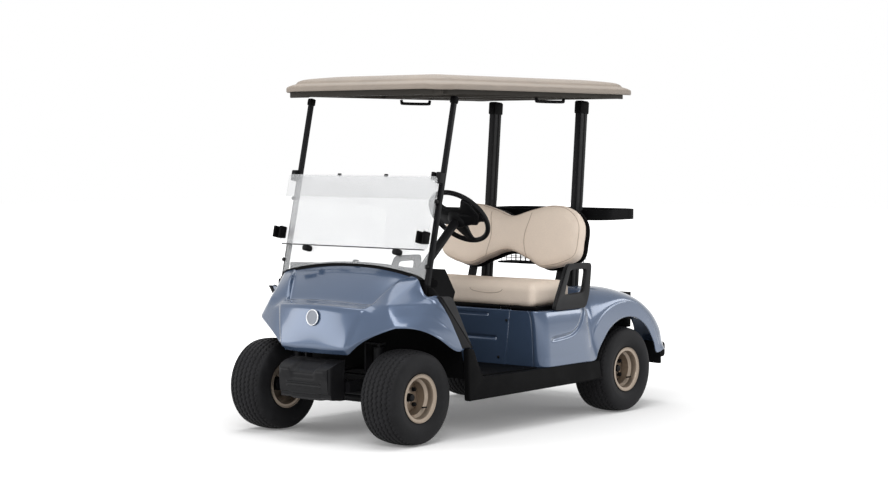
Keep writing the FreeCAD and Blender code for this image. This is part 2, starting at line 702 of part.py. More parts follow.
def dash():
    """Dash with its top strip and two open bins."""
    front = COWL_FRONT + COWL_LONG + FIT
    rear = front + DASH_LONG
    top = COWL_LIP_Z + COWL_TALL
    outline = [(front, top - BIN_TALL), (front, top - SHEET), (rear - DASH_LONG / 3, top - SHEET * 3),
               (rear, DASH_BOTTOM + DASH_TALL / 2), (rear - DASH_LONG / 4, DASH_BOTTOM),
               (front + DASH_LONG / 3, DASH_BOTTOM)]
    body = side_plate(outline, -DASH_HALF, DASH_HALF)
    back = rear - BIN_DEEP - SHEET
    for x, wide in ((BIN_X, BIN_WIDE), (CUP_X, CUP_WIDE)):
        body = body.cut(block(x - wide / 2, x + wide / 2, back, rear + OVERRUN, BIN_Z, BIN_Z + BIN_TALL))
    return body.cut(column_tube(COLUMN_R + FIT))


def front_bumper():
    """Moulded bumper under the cowl: its side-view section within its rounded plan."""
    section = scaled(BUMPER_SECTION_SHARES, NOSE, BUMPER_Z, BUMPER_LONG, BUMPER_TALL)
    half = [Vector(u * BUMPER_HALF, NOSE + v * BUMPER_LONG, 0) for u, v in BUMPER_PLAN_SHARES]
    plan = half + [Vector(-point.x, point.y, 0) for point in reversed(half)]
    prism = Part.Face(closed_wire(plan)).extrude(Vector(0, 0, BUMPER_Z + BUMPER_TALL))
    return side_plate(section, -BUMPER_HALF, BUMPER_HALF).common(prism)


def steering_place(shape):
    """Piece built about the steering axis, moved to the driver's side."""
    return tilted(shape, (COLUMN_X, WHEEL_Y, WHEEL_Z), WHEEL_LEAN)


def steering_wheel():
    """Steering wheel: rim, three spokes, hub pad and the shaft down into the column."""
    ring = Part.makeTorus(WHEEL_R, WHEEL_GRIP_R)
    hub = Part.makeCylinder(HUB_PAD_R, HUB_PAD_H, Vector(0, 0, -WHEEL_DISH))
    parts = [ring, hub]
    for number in range(SPOKES):
        spoke = block(0, WHEEL_R, -SPOKE_WIDE / 2, SPOKE_WIDE / 2, -SPOKE_THICK / 2, SPOKE_THICK / 2)
        spoke.rotate(Vector(0, 0, 0), Vector(0, 0, 1), number * SPOKE_TURN)
        parts.append(spoke)
    parts.append(Part.makeCylinder(SHAFT_R, COLUMN_LONG / 3, Vector(0, 0, -WHEEL_DISH - COLUMN_LONG / 3)))
    return steering_place(fused(parts))


def card_clip():
    """Card clip on the hub pad."""
    face = SPOKE_THICK / 2 + FIT
    wide, tall = CLIP_WIDE / 2, CLIP_TALL / 2
    return steering_place(block(-wide, wide, -tall, tall, face, face + CLIP_THICK))


def column_tube(radius):
    """Cylinder along the steering column."""
    foot = -WHEEL_DISH - FIT - COLUMN_LONG
    return steering_place(Part.makeCylinder(radius, COLUMN_LONG, Vector(0, 0, foot)))


def steering_column():
    """Column tube from under the steering wheel into the dash."""
    long = COLUMN_LONG / 3 + OVERRUN
    bore = Part.makeCylinder(SHAFT_R + FIT, long, Vector(0, 0, -WHEEL_DISH - long))
    return column_tube(COLUMN_R).cut(steering_place(bore))


def pedals():
    """Brake and accelerator pads on their arms."""
    parts = []
    toe = AXLE_F + TOE_FOOT
    for x, wide in ((COLUMN_X - HUB_PAD_R * 2, HUB_PAD_R * 2), (COLUMN_X + HUB_PAD_R, HUB_PAD_R)):
        pad = block(x - wide / 2, x + wide / 2, 0, SPOKE_THICK, 0, CLIP_TALL)
        arm = rod((x, 0, CLIP_TALL / 2), (x, -HUB_PAD_R, CLIP_TALL / 2), SPOKE_THICK)
        both = fused([pad, arm])
        both.rotate(Vector(0, 0, 0), Vector(1, 0, 0), -BACK_LEAN)
        both.translate(Vector(0, toe + PEDAL_OUT, FLOOR_Z + CLIP_TALL / 2))
        parts.append(both)
    return Part.makeCompound(parts)


def seat_cushion():
    """Bench cushion with rounded edges."""
    low = SEAT_BASE_Z + HINGE_NOSE_R * 2 + FIT * 2
    pad = block(-SEAT_HALF, SEAT_HALF, SEAT_FRONT, SEAT_REAR, low, SEAT_TOP)
    upper = [edge for edge in pad.Edges if edge.BoundBox.ZMax > low + OVERRUN]
    return pad.makeFillet(SEAT_ROUND, upper)


def seat_pin(radius):
    """Hinge pins at the front of the seat pan, as bars of one radius."""
    z = SEAT_BASE_Z + FIT + HINGE_NOSE_R
    half = HINGE_LONG / 2 + HINGE_LUG
    return [rod((x - half, HINGE_Y, z), (x + half, HINGE_Y, z), radius) for x in (-HINGE_X, HINGE_X)]


def lug_places():
    """X positions of the hinge lugs, two beside each pin."""
    return [side * HINGE_X + end * (HINGE_LONG + HINGE_LUG) / 2 for side in (-1, 1) for end in (-1, 1)]


def seat_lugs():
    """Hinge lugs that stand on the deck beside each pin."""
    low = SEAT_BASE_Z + FIT
    half = HINGE_PIN_R + FIT
    return [block(x - HINGE_LUG / 2, x + HINGE_LUG / 2, HINGE_Y - half, HINGE_Y + half, low,
                  low + HINGE_NOSE_R + half) for x in lug_places()]


def lug_reliefs():
    """Round slots in the seat pan in which the lugs stay clear as it tips."""
    z = SEAT_BASE_Z + FIT + HINGE_NOSE_R
    radius = math.hypot(HINGE_NOSE_R, HINGE_PIN_R + FIT) + RUNNING / 2
    half = (HINGE_LUG + RUNNING) / 2
    return [rod((x - half, HINGE_Y, z), (x + half, HINGE_Y, z), radius) for x in lug_places()]


def seat_pan():
    """Board under the cushion, with a rounded nose that turns on the pins."""
    low = SEAT_BASE_Z + FIT
    z = low + HINGE_NOSE_R
    inset = SEAT_HALF - SEAT_ROUND / 4
    board = block(-inset, inset, HINGE_Y, SEAT_REAR - SEAT_ROUND / 4, low, low + HINGE_NOSE_R * 2)
    nose = rod((-inset, HINGE_Y, z), (inset, HINGE_Y, z), HINGE_NOSE_R)
    whole = fused([board, nose])
    for piece in seat_pin(HINGE_PIN_R + PIN_PLAY) + lug_reliefs():
        whole = whole.cut(piece)
    return whole


def seat_hinges():
    """Fixed pins and lugs of the seat pan on the deck."""
    lugs = seat_lugs()
    beside = (lugs[:2], lugs[2:])
    return Part.makeCompound([fused([pin, *two]) for pin, two in zip(seat_pin(HINGE_PIN_R), beside)])


def seat_back():
    """Bow-tie back cushion."""
    return tilted(back_slab(0, BACK_LONG, 0), (0, BACK_Y, BACK_Z), BACK_LEAN)


def back_slab(near, far, inset):
    """Slab with the seat back's outline between two depths."""
    right = [(u * (BACK_HALF - inset), inset + v * (BACK_TALL - inset * 2)) for u, v in BACK_OUTLINE_SHARES]
    left = [(-u, v) for u, v in reversed(right[1:-1])]
    points = [Vector(u, near, v) for u, v in right + left]
    curve = Part.BSplineCurve()
    curve.interpolate(Points=points, PeriodicFlag=True)
    return Part.Face(Part.Wire(curve.toShape())).extrude(Vector(0, far - near, 0))


def seat_back_shell():
    """Backing shell behind the seat back."""
    near = BACK_LONG + FIT
    return tilted(back_slab(near, near + BACK_SHELL, SHEET), (0, BACK_Y, BACK_Z), BACK_LEAN)


def seat_back_supports():
    """Two posts that carry the seat back from the body behind the seat."""
    near = BACK_LONG + BACK_SHELL + FIT * 2
    far = near + BACK_POST_LONG
    half = BACK_POST_WIDE / 2
    post = block(BACK_POST_X - half, BACK_POST_X + half, near, far, -BACK_TALL, BACK_TALL / 2)
    below = block(-LENGTH, LENGTH, -LENGTH, LENGTH, 0, SEAT_BASE_Z + FIT)
    return pair(tilted(post, (0, BACK_Y, BACK_Z), BACK_LEAN).cut(below))


def hip_restraints():
    """Hip restraint loop at each side of the seat."""
    outer = scaled(HIP_OUTLINE_SHARES, HIP_Y, SEAT_BASE_Z + FIT, HIP_LONG, HIP_TALL)
    hole = scaled(HIP_HOLE_SHARES, HIP_Y, SEAT_BASE_Z + FIT, HIP_LONG, HIP_TALL)
    low = HIP_X - HIP_WALL
    return pair(side_plate(outer, low, HIP_X).cut(side_plate(hole, low - OVERRUN, HIP_X + OVERRUN)))


def body_section(station, wall):
    """Side-view outline of the rear body at a share of its width, set in by a wall.

    From the crest the outline eases down to the flare line by a quarter ellipse.
    """
    start, foot_y = front_panel_points()[1][0], front_panel_points()[0][0]
    long = TAIL - REAR_BUMPER_LONG - start
    points = [(foot_y + wall, SIDE_BOTTOM - wall)]
    for crest, flare, width in zip(SIDE_CREST_SHARES, SIDE_FLARE_SHARES, SIDE_CREST_WIDTH_SHARES):
        out = max(0.0, station - width) / (1 - width)
        rise = math.sqrt(1 - out * out)
        u = flare[0] + (crest[0] - flare[0]) * rise
        v = flare[1] + (crest[1] - flare[1]) * rise
        points.append((start + u * long + wall * (1 - 2 * u), SIDE_BOTTOM + v * SIDE_TALL - wall))
    return points


def body_loft(wall):
    """One side of the rear body, set in by a wall."""
    wide = BODY_X - BODY_INNER
    sections = []
    for station in SIDE_STATION_SHARES:
        x = BODY_INNER + wall + station * (wide - wall * 2)
        sections.append((x, body_section((x + wall - BODY_INNER) / wide if wall else station, wall)))
    return section_loft(sections, True)


def rear_body():
    """Rear body: seat base sides, deck and flared fenders over the rear wheels."""
    arch = rod((0, AXLE_R, AXLE_Z), (BODY_X + OVERRUN, AXLE_R, AXLE_Z), ARCH_R)
    well = rod((BODY_INNER, AXLE_R, AXLE_Z), (BODY_X, AXLE_R, AXLE_Z), ARCH_R + BODY_WALL)
    pod = body_loft(0).cut(arch).cut(body_loft(BODY_WALL).cut(well))
    front = front_panel_points()[1][0] + BODY_WALL * 3
    reach = BODY_INNER + BODY_WALL
    deck = block(-reach, reach, front, POST_Y - POST_DEEP, SEAT_BASE_Z - BODY_WALL, SEAT_BASE_Z)
    return fused([pod, mirrored(pod), deck])


def access_panel():
    """Front panel of the seat base."""
    low, high = front_panel_points()
    outline = [low, high, (high[0] + BODY_WALL, high[1]), (low[0] + BODY_WALL, low[1])]
    return side_plate([(y, z - FIT) for y, z in outline], -BODY_INNER + FIT, BODY_INNER - FIT)


def bag_well():
    """Open tray for bags behind the seat."""
    front = post_rear(WELL_TOP) + FIT
    rear = front + WELL_LONG
    low = RAIL_Z + RAIL_RISE + RAIL_TALL + FIT
    half = WELL_HALF - SHEET
    outer = block(-WELL_HALF, WELL_HALF, front, rear, low, WELL_TOP)
    return outer.cut(block(-half, half, front + SHEET, rear - SHEET, low + SHEET, WELL_TOP + OVERRUN))


def rear_bumper():
    """Rear bumper bar."""
    return block(-REAR_BUMPER_HALF, REAR_BUMPER_HALF, TAIL - REAR_BUMPER_LONG, TAIL, REAR_BUMPER_Z,
                 REAR_BUMPER_Z + REAR_BUMPER_TALL)


def mud_flaps():
    """Mud flap behind each rear wheel."""
    y = TAIL - REAR_BUMPER_LONG - FLAP_IN
    near, far = BODY_INNER + BODY_WALL + FIT, BODY_X - FLAP_SIDE
    return pair(block(near, far, y, y + SHEET, FLAP_Z, FLAP_Z + FLAP_TALL))


def hollow_tube(wide, deep, wall, base):
    """Upright rectangular tube, longer than any strut."""
    tube = block(-wide / 2, wide / 2, -deep / 2, deep / 2, base, LENGTH)
    side, back = wide / 2 - wall, deep / 2 - wall
    return tube.cut(block(-side, side, -back, back, base, LENGTH))


def under_roof(shape):
    """Strut trimmed level under the roof frame."""
    low = CANOPY_Z - LINER_DEEP - FIT
    return shape.cut(block(-LENGTH, LENGTH, -LENGTH, LENGTH, low, LENGTH * 2))


def front_struts():
    """Front struts of the canopy, square tubes with a foot plate against the dash."""
    tube = hollow_tube(STRUT_WIDE, STRUT_WIDE, STRUT_WALL, 0)
    whole = under_roof(tilted(tube, (STRUT_X, STRUT_Y, STRUT_Z), STRUT_LEAN))
    half = STRUT_WIDE / 2
    plate = block(DASH_HALF + FIT, STRUT_X - half, -half, STRUT_WIDE * 2, STRUT_WALL, STRUT_FOOT)
    return pair(fused([whole, in_strut_plane(plate)]))


def post_rear(z):
    """Y of the rear struts' rear face at a height."""
    lean = math.radians(POST_LEAN)
    return POST_Y + (z - POST_Z) * math.tan(lean) + POST_DEEP / 2 / math.cos(lean)


def rear_struts():
    """Rear struts of the canopy, rectangular extrusions."""
    tube = hollow_tube(POST_WIDE, POST_DEEP, POST_WALL, 0)
    return pair(under_roof(tilted(tube, (POST_X, POST_Y, POST_Z), POST_LEAN)))


def rounded_plan(half, front, rear, corner, z):
    """Closed rounded rectangle in plan at a height."""
    face = Part.Face(closed_wire([Vector(-half, front, z), Vector(half, front, z), Vector(half, rear, z),
                                  Vector(-half, rear, z)]))
    solid = face.extrude(Vector(0, 0, corner))
    upright = [edge for edge in solid.Edges if edge.BoundBox.ZLength > corner / 2]
    solid = solid.makeFillet(corner, upright)
    low = [face for face in solid.Faces if face.BoundBox.ZMax < z + corner / 2]
    return low[0].OuterWire


def canopy_solid(wall):
    """Roof form from the lip over the raised crown, set in by a wall."""
    wires = []
    for inset_share, rise_share in CANOPY_RING_SHARES:
        inset = inset_share * CANOPY_HALF + wall
        z = CANOPY_Z + rise_share * CANOPY_TALL - wall
        front, rear = CANOPY_FRONT + inset, CANOPY_REAR - inset
        wires.append(rounded_plan(CANOPY_HALF - inset, front, rear, CANOPY_CORNER, z))
    return Part.makeLoft(wires, True, True)


def canopy():
    """Moulded roof, open underneath."""
    return canopy_solid(0).cut(canopy_solid(CANOPY_WALL))


def canopy_frame():
    """Frame under the roof that the struts bolt to."""
    low, top = CANOPY_Z - LINER_DEEP, CANOPY_Z + CANOPY_TALL
    front, rear = CANOPY_FRONT + LINER_WIDE, CANOPY_REAR - LINER_WIDE
    half = LINER_HALF - LINER_WIDE
    outer = block(-LINER_HALF, LINER_HALF, front, rear, low, top)
    inner = block(-half, half, front + LINER_WIDE, rear - LINER_WIDE, 0, LENGTH)
    bar_y = post_rear(CANOPY_Z) - POST_DEEP / 2
    bar = block(-LINER_HALF, LINER_HALF, bar_y - LINER_WIDE / 2, bar_y + LINER_WIDE / 2, low, top)
    under = block(-CANOPY_HALF, CANOPY_HALF, CANOPY_FRONT, CANOPY_REAR, low, CANOPY_Z - CANOPY_WALL)
    return fused([outer.cut(inner), bar]).common(fused([canopy_solid(CANOPY_WALL + FIT), under]))


def grab_handles():
    """Grab handle under each side of the roof."""
    x = LINER_HALF - LINER_WIDE / 2
    z = CANOPY_Z - LINER_DEEP - FIT
    low = z - HANDLE_DROP
    front, rear = HANDLE_Y - HANDLE_LONG / 2, HANDLE_Y + HANDLE_LONG / 2
    bar = rod((x, front, low), (x, rear, low), HANDLE_R)
    r = HANDLE_R
    ends = [block(x - r, x + r, y - r, y + r, low - r, z) for y in (front, rear)]
    return pair(fused([bar] + ends))


def in_strut_plane(shape):
    """Piece built upright in front of the struts, leaned with them."""
    return tilted(shape, (0, STRUT_Y, STRUT_Z), STRUT_LEAN)


def windshield_lower():
    """Fixed lower pane between the struts, its foot following the cowl."""
    rear = -STRUT_WIDE / 2 - GLASS_GAP
    pane = in_strut_plane(block(-GLASS_HALF, GLASS_HALF, rear - GLASS, rear, GLASS_FOOT, GLASS_HINGE))
    return pane.cut(section_loft(cowl_sections(-GLASS_GAP, OVERRUN), False))


def pane_hinge():
    """Depth and height of the fold axis in the strut plane."""
    pane = -STRUT_WIDE / 2 - GLASS_GAP - GLASS / 2
    return pane - (FOLD_GAP + GLASS) / 2, GLASS_HINGE + FOLD_PIN


def windshield_clips():
    """Clips and pins that hold the lower pane, and the buffers that the folded pane rests on."""
    strut = -STRUT_WIDE / 2
    near, far = STRUT_X - STRUT_WIDE / 2, STRUT_X + STRUT_WIDE / 2
    axis, up = pane_hinge()
    head = block(near, far, axis - PIN_R * 2, strut - FIT, GLASS_HINGE + FIT, up + FOLD_PIN)
    pin = rod((near - CLIP_SIDE, axis, up), (far, axis, up), PIN_R)
    low = GLASS_FOOT + CLIP_SIDE
    spacer = block(near, far, strut - GLASS_GAP + FIT, strut - FIT, low, low + CLIP_SIDE)
    front = strut - GLASS_GAP - GLASS - FIT
    rear = front - FOLD_GAP + FIT * 2
    buffer = rod((BUFFER_X, front, BUFFER_UP), (BUFFER_X, rear, BUFFER_UP), BUFFER_R)
    return in_strut_plane(Part.makeCompound([pair(piece) for piece in (fused([head, pin]), spacer, buffer)]))


def windshield_upper():
    """Upper pane, folded down in front of the lower one."""
    rear = -STRUT_WIDE / 2 - GLASS_GAP - GLASS - FOLD_GAP
    top = GLASS_HINGE - GLASS
    return in_strut_plane(block(-GLASS_HALF, GLASS_HALF, rear - GLASS, rear, top - FOLD_LONG, top))


def windshield_hinges():
    """Moving hinge arms on the folded pane."""
    axis, up = pane_hinge()
    pane = -STRUT_WIDE / 2 - GLASS_GAP - GLASS - FOLD_GAP
    far = STRUT_X - STRUT_WIDE / 2 - RUNNING
    near = far - CLIP_SIDE + RUNNING * 2
    top = GLASS_HINGE - GLASS
    arm = fused([block(near, far, pane + FIT, axis + PIN_R * 2, top - CLIP_SIDE, top + CLIP_SIDE / 4),
                 rod((near, axis, up), (far, axis, up), PIN_R * 2),
                 block(near, far, axis - PIN_R * 2, axis + PIN_R * 2, top, up)])
    bore = rod((near - OVERRUN, axis, up), (far + OVERRUN, axis, up), PIN_R + PIN_PLAY)
    return in_strut_plane(pair(arm.cut(bore)))


def windshield_latches():
    """Blocks on the folded pane whose slots grip the struts when it is raised."""
    front = -STRUT_WIDE / 2 - GLASS_GAP - GLASS * 2 - FOLD_GAP - FIT
    top = LATCH_UP + LATCH_TALL
    half, slot = LATCH_WIDE / 2, STRUT_WIDE / 2 + RUNNING
    body = block(STRUT_X - half, STRUT_X + half, front - LATCH_DEEP, front, LATCH_UP, top)
    groove = block(STRUT_X - slot, STRUT_X + slot, front - LATCH_DEEP, front - STRUT_WALL, LATCH_UP, top)
    return in_strut_plane(pair(body.cut(groove)))


def bag_holder():
    """Band around the tops of the bags, held by the rear struts."""
    start = post_rear(RING_Z + RING_TALL) + FIT
    outer = rounded_plan(RING_HALF, start, start + RING_LONG, RING_CORNER, RING_Z)
    inner = rounded_plan(RING_HALF - RING_WALL, start + RING_WALL, start + RING_LONG - RING_WALL,
                         RING_CORNER - RING_WALL, RING_Z)
    return Part.Face([outer, inner]).extrude(Vector(0, 0, RING_TALL))


def sweater_basket():
    """Basket behind the seat back."""
    start = post_rear(BASKET_Z + BASKET_TALL) + FIT
    rear, top = start + BASKET_LONG, BASKET_Z + BASKET_TALL
    bar = BASKET_BAR
    half = BASKET_HALF - bar
    outer = block(-BASKET_HALF, BASKET_HALF, start, rear, BASKET_Z, top)
    return outer.cut(block(-half, half, start + bar, rear - bar, BASKET_Z + bar, top + OVERRUN))


def export(name, shape):
    """Write one piece as a STEP file."""
    shape.exportStep(os.path.join("parts", name + ".step"))


def wheels():
    """Tyre and rim of every wheel by node name."""
    pieces = {}
    for end, y, track in (("front", AXLE_F, TRACK_FRONT), ("rear", AXLE_R, TRACK_REAR)):
        front = end == "front"
        hub_in, hub_r, bore = (HUB_IN, HUB_R, SPINDLE_R) if front else (DRUM_IN, DRUM_R, AXLE_SHAFT_R)
        for hand, side in (("left", 1), ("right", -1)):
            x = side * track / 2
            pieces[f"tyre_{end}_{hand}"] = tyre(x, y)
            pieces[f"rim_{end}_{hand}"] = rim(side, x, y, hub_in, hub_r, bore + FIT)
    return pieces


def all_springs():
    """Coil-over dampers of both axles."""
    front = springs(FRONT_SPRING_X, AXLE_F, AXLE_Z + BEAM_R, FRONT_SPRING_TOP)
    rear = springs(REAR_SPRING_X, AXLE_R, AXLE_Z + AXLE_TUBE_R, rear_spring_top())
    return Part.makeCompound([front, rear])


def pieces():
    """Every piece of the vehicle by node name."""
    found = {
        "frame": frame(), "front_axle": front_axle(), "rear_axle": rear_axle(),
        "rack_housing": rack_housing(), "steering_rack": steering_rack(), "engine": engine(),
        "floor": floor(),
        "springs": all_springs(),
        "sills": sills(), "pillar_trims": pillar_trims(), "hip_restraints": hip_restraints(),
        "front_struts": front_struts(), "rear_struts": rear_struts(),
        "front_cowl": front_cowl(), "dash": dash(), "front_bumper": front_bumper(),
        "steering_wheel": steering_wheel(), "card_clip": card_clip(), "steering_column": steering_column(),
        "pedals": pedals(), "seat_cushion": seat_cushion(), "seat_pan": seat_pan(), "seat_back": seat_back(),
        "seat_back_shell": seat_back_shell(), "seat_back_supports": seat_back_supports(),
        "rear_body": rear_body(), "access_panel": access_panel(), "bag_well": bag_well(),
        "rear_bumper": rear_bumper(), "mud_flaps": mud_flaps(),
        "canopy": canopy(), "canopy_frame": canopy_frame(),
        "grab_handles": grab_handles(), "windshield_lower": windshield_lower(),
        "windshield_clips": windshield_clips(), "windshield_upper": windshield_upper(),
        "windshield_hinges": Part.makeCompound([windshield_hinges(), windshield_latches()]),
        "seat_hinges": seat_hinges(), "bag_holder": bag_holder(), "sweater_basket": sweater_basket(),
    }
    for hand, side in (("left", 1), ("right", -1)):
        found[f"knuckle_{hand}"] = knuckle(side)
    found.update(wheels())
    return found


os.makedirs("parts", exist_ok=True)
for node, solid in pieces().items():
    export(node, solid)
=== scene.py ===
import logging
import math
from dataclasses import dataclass
from enum import Enum
from typing import Any, Iterable, Sequence

import bpy
import numpy as np
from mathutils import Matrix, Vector


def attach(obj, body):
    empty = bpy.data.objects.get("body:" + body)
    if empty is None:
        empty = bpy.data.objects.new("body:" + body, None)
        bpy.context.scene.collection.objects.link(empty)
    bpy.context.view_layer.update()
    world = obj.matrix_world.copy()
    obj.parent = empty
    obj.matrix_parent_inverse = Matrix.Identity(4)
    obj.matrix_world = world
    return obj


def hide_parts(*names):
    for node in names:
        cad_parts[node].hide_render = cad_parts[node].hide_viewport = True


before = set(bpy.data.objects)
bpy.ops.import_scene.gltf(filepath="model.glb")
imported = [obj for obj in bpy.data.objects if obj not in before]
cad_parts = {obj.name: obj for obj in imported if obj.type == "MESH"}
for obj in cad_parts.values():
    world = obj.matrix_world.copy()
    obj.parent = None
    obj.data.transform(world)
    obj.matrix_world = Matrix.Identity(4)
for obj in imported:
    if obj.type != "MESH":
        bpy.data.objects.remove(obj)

Array = np.ndarray
Point = tuple[float, float, float]
Colour = tuple[float, float, float]
Outline = Sequence[Sequence[float]]
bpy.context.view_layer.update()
AXLES = (("front", -0.930, 0.874), ("rear", 0.710, 0.980))
log = logging.getLogger("golf_cart")


# Numbers and curves


def unit(vectors: Array) -> Array:
    """Vectors divided by their own length, along the last axis."""
    return vectors / np.maximum(np.linalg.norm(vectors, axis=-1, keepdims=True), 1e-12)


def smoothstep(low: float, high: float, value: Array) -> Array:
    """Cubic ramp from 0 below low to 1 above high: t squared times (3 - 2t)."""
    t = np.clip((value - low) / (high - low), 0.0, 1.0)
    return t * t * (3.0 - 2.0 * t)


def spline_weights(count: int, steps: int, breaks: Sequence[int] = (), closed: bool = False) -> Array:
    """Weights of a cubic Hermite spline through control points.

    Each sample is h00 p1 + h10 m1 + h01 p2 + h11 m2. A tangent m is half the step between the two
    neighbours of its point, or the step of the span itself at an end or a break.

    Args:
        count: number of control points.
        steps: samples in each span.
        breaks: control points at which the line may turn sharply.
        closed: joins the last point to the first.

    Returns:
        An array of samples by control points.
    """
    spans = count if closed else count - 1
    at = np.arange(spans * steps + (0 if closed else 1)) / steps
    low = np.minimum(at.astype(int), spans - 1)
    t = at - low
    high = (low + 1) % count
    smooth = np.ones(count, bool)
    smooth[list(breaks)] = False
    if not closed:
        smooth[[0, -1]] = False
    weights = np.zeros((len(at), count))
    rows = np.arange(len(at))
    rise = t * t * (3 - 2 * t)
    np.add.at(weights, (rows, low), 1 - rise)
    np.add.at(weights, (rows, high), rise)
    ends = ((t * (1 - t) ** 2, low, (low - 1) % count, high),
            (t * t * (t - 1), high, low, (high + 1) % count))
    for factor, own, before, after in ends:
        scale = np.where(smooth[own], 0.5, 1.0) * factor
        np.add.at(weights, (rows, np.where(smooth[own], after, high)), scale)
        np.add.at(weights, (rows, np.where(smooth[own], before, low)), -scale)
    return weights


def spline(points: Outline, steps: int, breaks: Sequence[int] = (), closed: bool = False) -> Array:
    """Samples of a spline through points.

    Args:
        points: control points in two or three dimensions.
        steps: samples in each span.
        breaks: control points at which the line may turn sharply.
        closed: joins the last point to the first.

    Returns:
        An array of samples by dimensions.
    """
    return spline_weights(len(points), steps, breaks, closed) @ np.asarray(points, float)


def patch(control: Array, row_steps: int, column_steps: int, row_breaks: Sequence[int] = (),
          column_breaks: Sequence[int] = ()) -> Array:
    """Surface through a grid of control points.

    It is the spline weights of the rows times the grid times those of the columns.

    Args:
        control: array of rows by columns by three.
        row_steps: samples between two rows.
        column_steps: samples between two columns.
        row_breaks: rows along which the surface may fold.
        column_breaks: columns along which the surface may fold.

    Returns:
        A finer array of the same kind.
    """
    down = spline_weights(control.shape[0], row_steps, row_breaks)
    across = spline_weights(control.shape[1], column_steps, column_breaks)
    return np.einsum("ir,rcx,jc->ijx", down, control, across)


def softened(points: Array, times: int, axes: Sequence[int] = (0, 1)) -> Array:
    """Grid whose inner points become half of themselves plus a quarter of each of their two neighbours.

    Args:
        points: grid of points.
        times: rounds of smoothing.
        axes: axes along which each round smooths.

    Returns:
        A new grid of the same size.
    """
    out = points.copy()
    for axis in [axis for _ in range(times) for axis in axes]:
        view = np.moveaxis(out, axis, 0)
        view[1:-1] = (view[:-2] + 2 * view[1:-1] + view[2:]) / 4
    return out


def resampled(path: Array, count: int) -> Array:
    """Path walked at equal distances, by linear interpolation over its running length.

    Args:
        path: points of the path.
        count: number of points to give back.

    Returns:
        The new points.
    """
    run = np.concatenate([[0], np.cumsum(np.linalg.norm(np.diff(path, axis=0), axis=1))])
    at = np.linspace(0, run[-1], count)
    return np.stack([np.interp(at, run, path[:, axis]) for axis in range(path.shape[1])], axis=1)


def rounded_corners(points: Outline, radius: float, steps: int = 5) -> Array:
    """Closed outline whose corners are eased.

    Each corner becomes a quadratic curve. It starts a set way back along one side, has the corner as its
    handle and ends the same way along the other side.

    Args:
        points: corners of the outline.
        radius: how far back from the corner each curve starts, at most 0.45 of a side.
        steps: points in each corner.

    Returns:
        The finer outline.
    """
    most_share = 0.45
    corner = np.asarray(points, float)
    before, after = np.roll(corner, 1, axis=0), np.roll(corner, -1, axis=0)
    sides = (before - corner, after - corner)
    start, end = (corner + unit(side) * np.minimum(
        radius, most_share * np.linalg.norm(side, axis=1, keepdims=True)) for side in sides)
    t = np.linspace(0, 1, steps)[None, :, None]
    curve = (1 - t) ** 2 * start[:, None] + 2 * t * (1 - t) * corner[:, None] + t * t * end[:, None]
    return curve.reshape(-1, corner.shape[1])


def distance_to(points: Array, line: Array) -> Array:
    """Distance of every point from a polyline, as the least distance from any of its segments.

    Args:
        points: array of points, in two dimensions.
        line: points of the polyline.

    Returns:
        An array of distances.
    """
    a, b = line[:-1], line[1:]
    along = b - a
    offset = points[..., None, :] - a
    t = np.clip((offset * along).sum(-1) / np.maximum((along * along).sum(-1), 1e-12), 0, 1)
    return np.linalg.norm(offset - t[..., None] * along, axis=-1).min(-1)


def mirrored(points: Array) -> Array:
    """Points on the other side of the cart."""
    return points * np.array([-1.0, 1.0, 1.0])


@dataclass(frozen=True)
class Place:
    """Frame of axes in which a piece is built."""

    origin: Point
    lean: float = 0.0

    def put(self, points: Array) -> Array:
        """Local points turned back about X by the lean in degrees, then moved to the origin.

        Args:
            points: array of local points.

        Returns:
            The points in the part's frame.
        """
        c, s = math.cos(math.radians(self.lean)), math.sin(math.radians(self.lean))
        x, y, z = points[..., 0], points[..., 1], points[..., 2]
        return np.stack([x, y * c + z * s, z * c - y * s], axis=-1) + np.asarray(self.origin)


# Ring and grid forms


def tube_rings(path: Array, section: Array, up: Point = (0.0, 0.0, 1.0), closed: bool = False) -> Array:
    """Section carried along a path.

    The side axis is the path's direction crossed with the up vector. The lift axis is the side axis crossed
    with the direction, so the section never twists.

    Args:
        path: points by three.
        section: closed outline as (side, lift) pairs.
        up: fixed vector, not parallel to the path.
        closed: the path runs round to its first point.

    Returns:
        Rings of points by three.
    """
    if closed:
        along = unit(np.roll(path, -1, axis=0) - np.roll(path, 1, axis=0))
    else:
        along = unit(np.gradient(path, axis=0))
    side = unit(np.cross(along, np.asarray(up)))
    lift = np.cross(side, along)
    return path[:, None] + section[None, :, :1] * side[:, None] + section[None, :, 1:] * lift[:, None]


def circle(radius: float, sides: int = 16) -> Array:
    """Points round a circle, as (cosine, sine) times the radius."""
    angle = np.linspace(0, 2 * np.pi, sides, endpoint=False)
    return radius * np.stack([np.cos(angle), np.sin(angle)], axis=1)


def rounded_square(wide: float, deep: float, radius: float, steps: int = 4) -> Array:
    """Rectangle about the origin with eased corners."""
    w, d = wide / 2, deep / 2
    return rounded_corners([(w, -d), (w, d), (-w, d), (-w, -d)], radius, steps)


def bar_rings(start: Point, end: Point, radius: float, sides: int = 16, ease: float = 0.0) -> Array:
    """Round bar between two points, with its two ends eased by a chamfer.

    Args:
        start: middle of one end.
        end: middle of the other end.
        radius: radius of the bar.
        sides: points in each ring.
        ease: size of the chamfer, and a share of the radius when it is zero.

    Returns:
        Rings of points by three.
    """
    ease_share, upright = 0.15, 0.9
    a, b = np.asarray(start, float), np.asarray(end, float)
    along = unit(b - a)
    up = (1.0, 0.0, 0.0) if abs(along[2]) > upright else (0.0, 0.0, 1.0)
    ease = ease or radius * ease_share
    path = np.stack([a, a + along * ease, b - along * ease, b])
    rings = tube_rings(path, circle(radius, sides), up)
    shares = np.array([1 - ease / radius, 1, 1, 1 - ease / radius])[:, None, None]
    return path[:, None] + (rings - path[:, None]) * shares


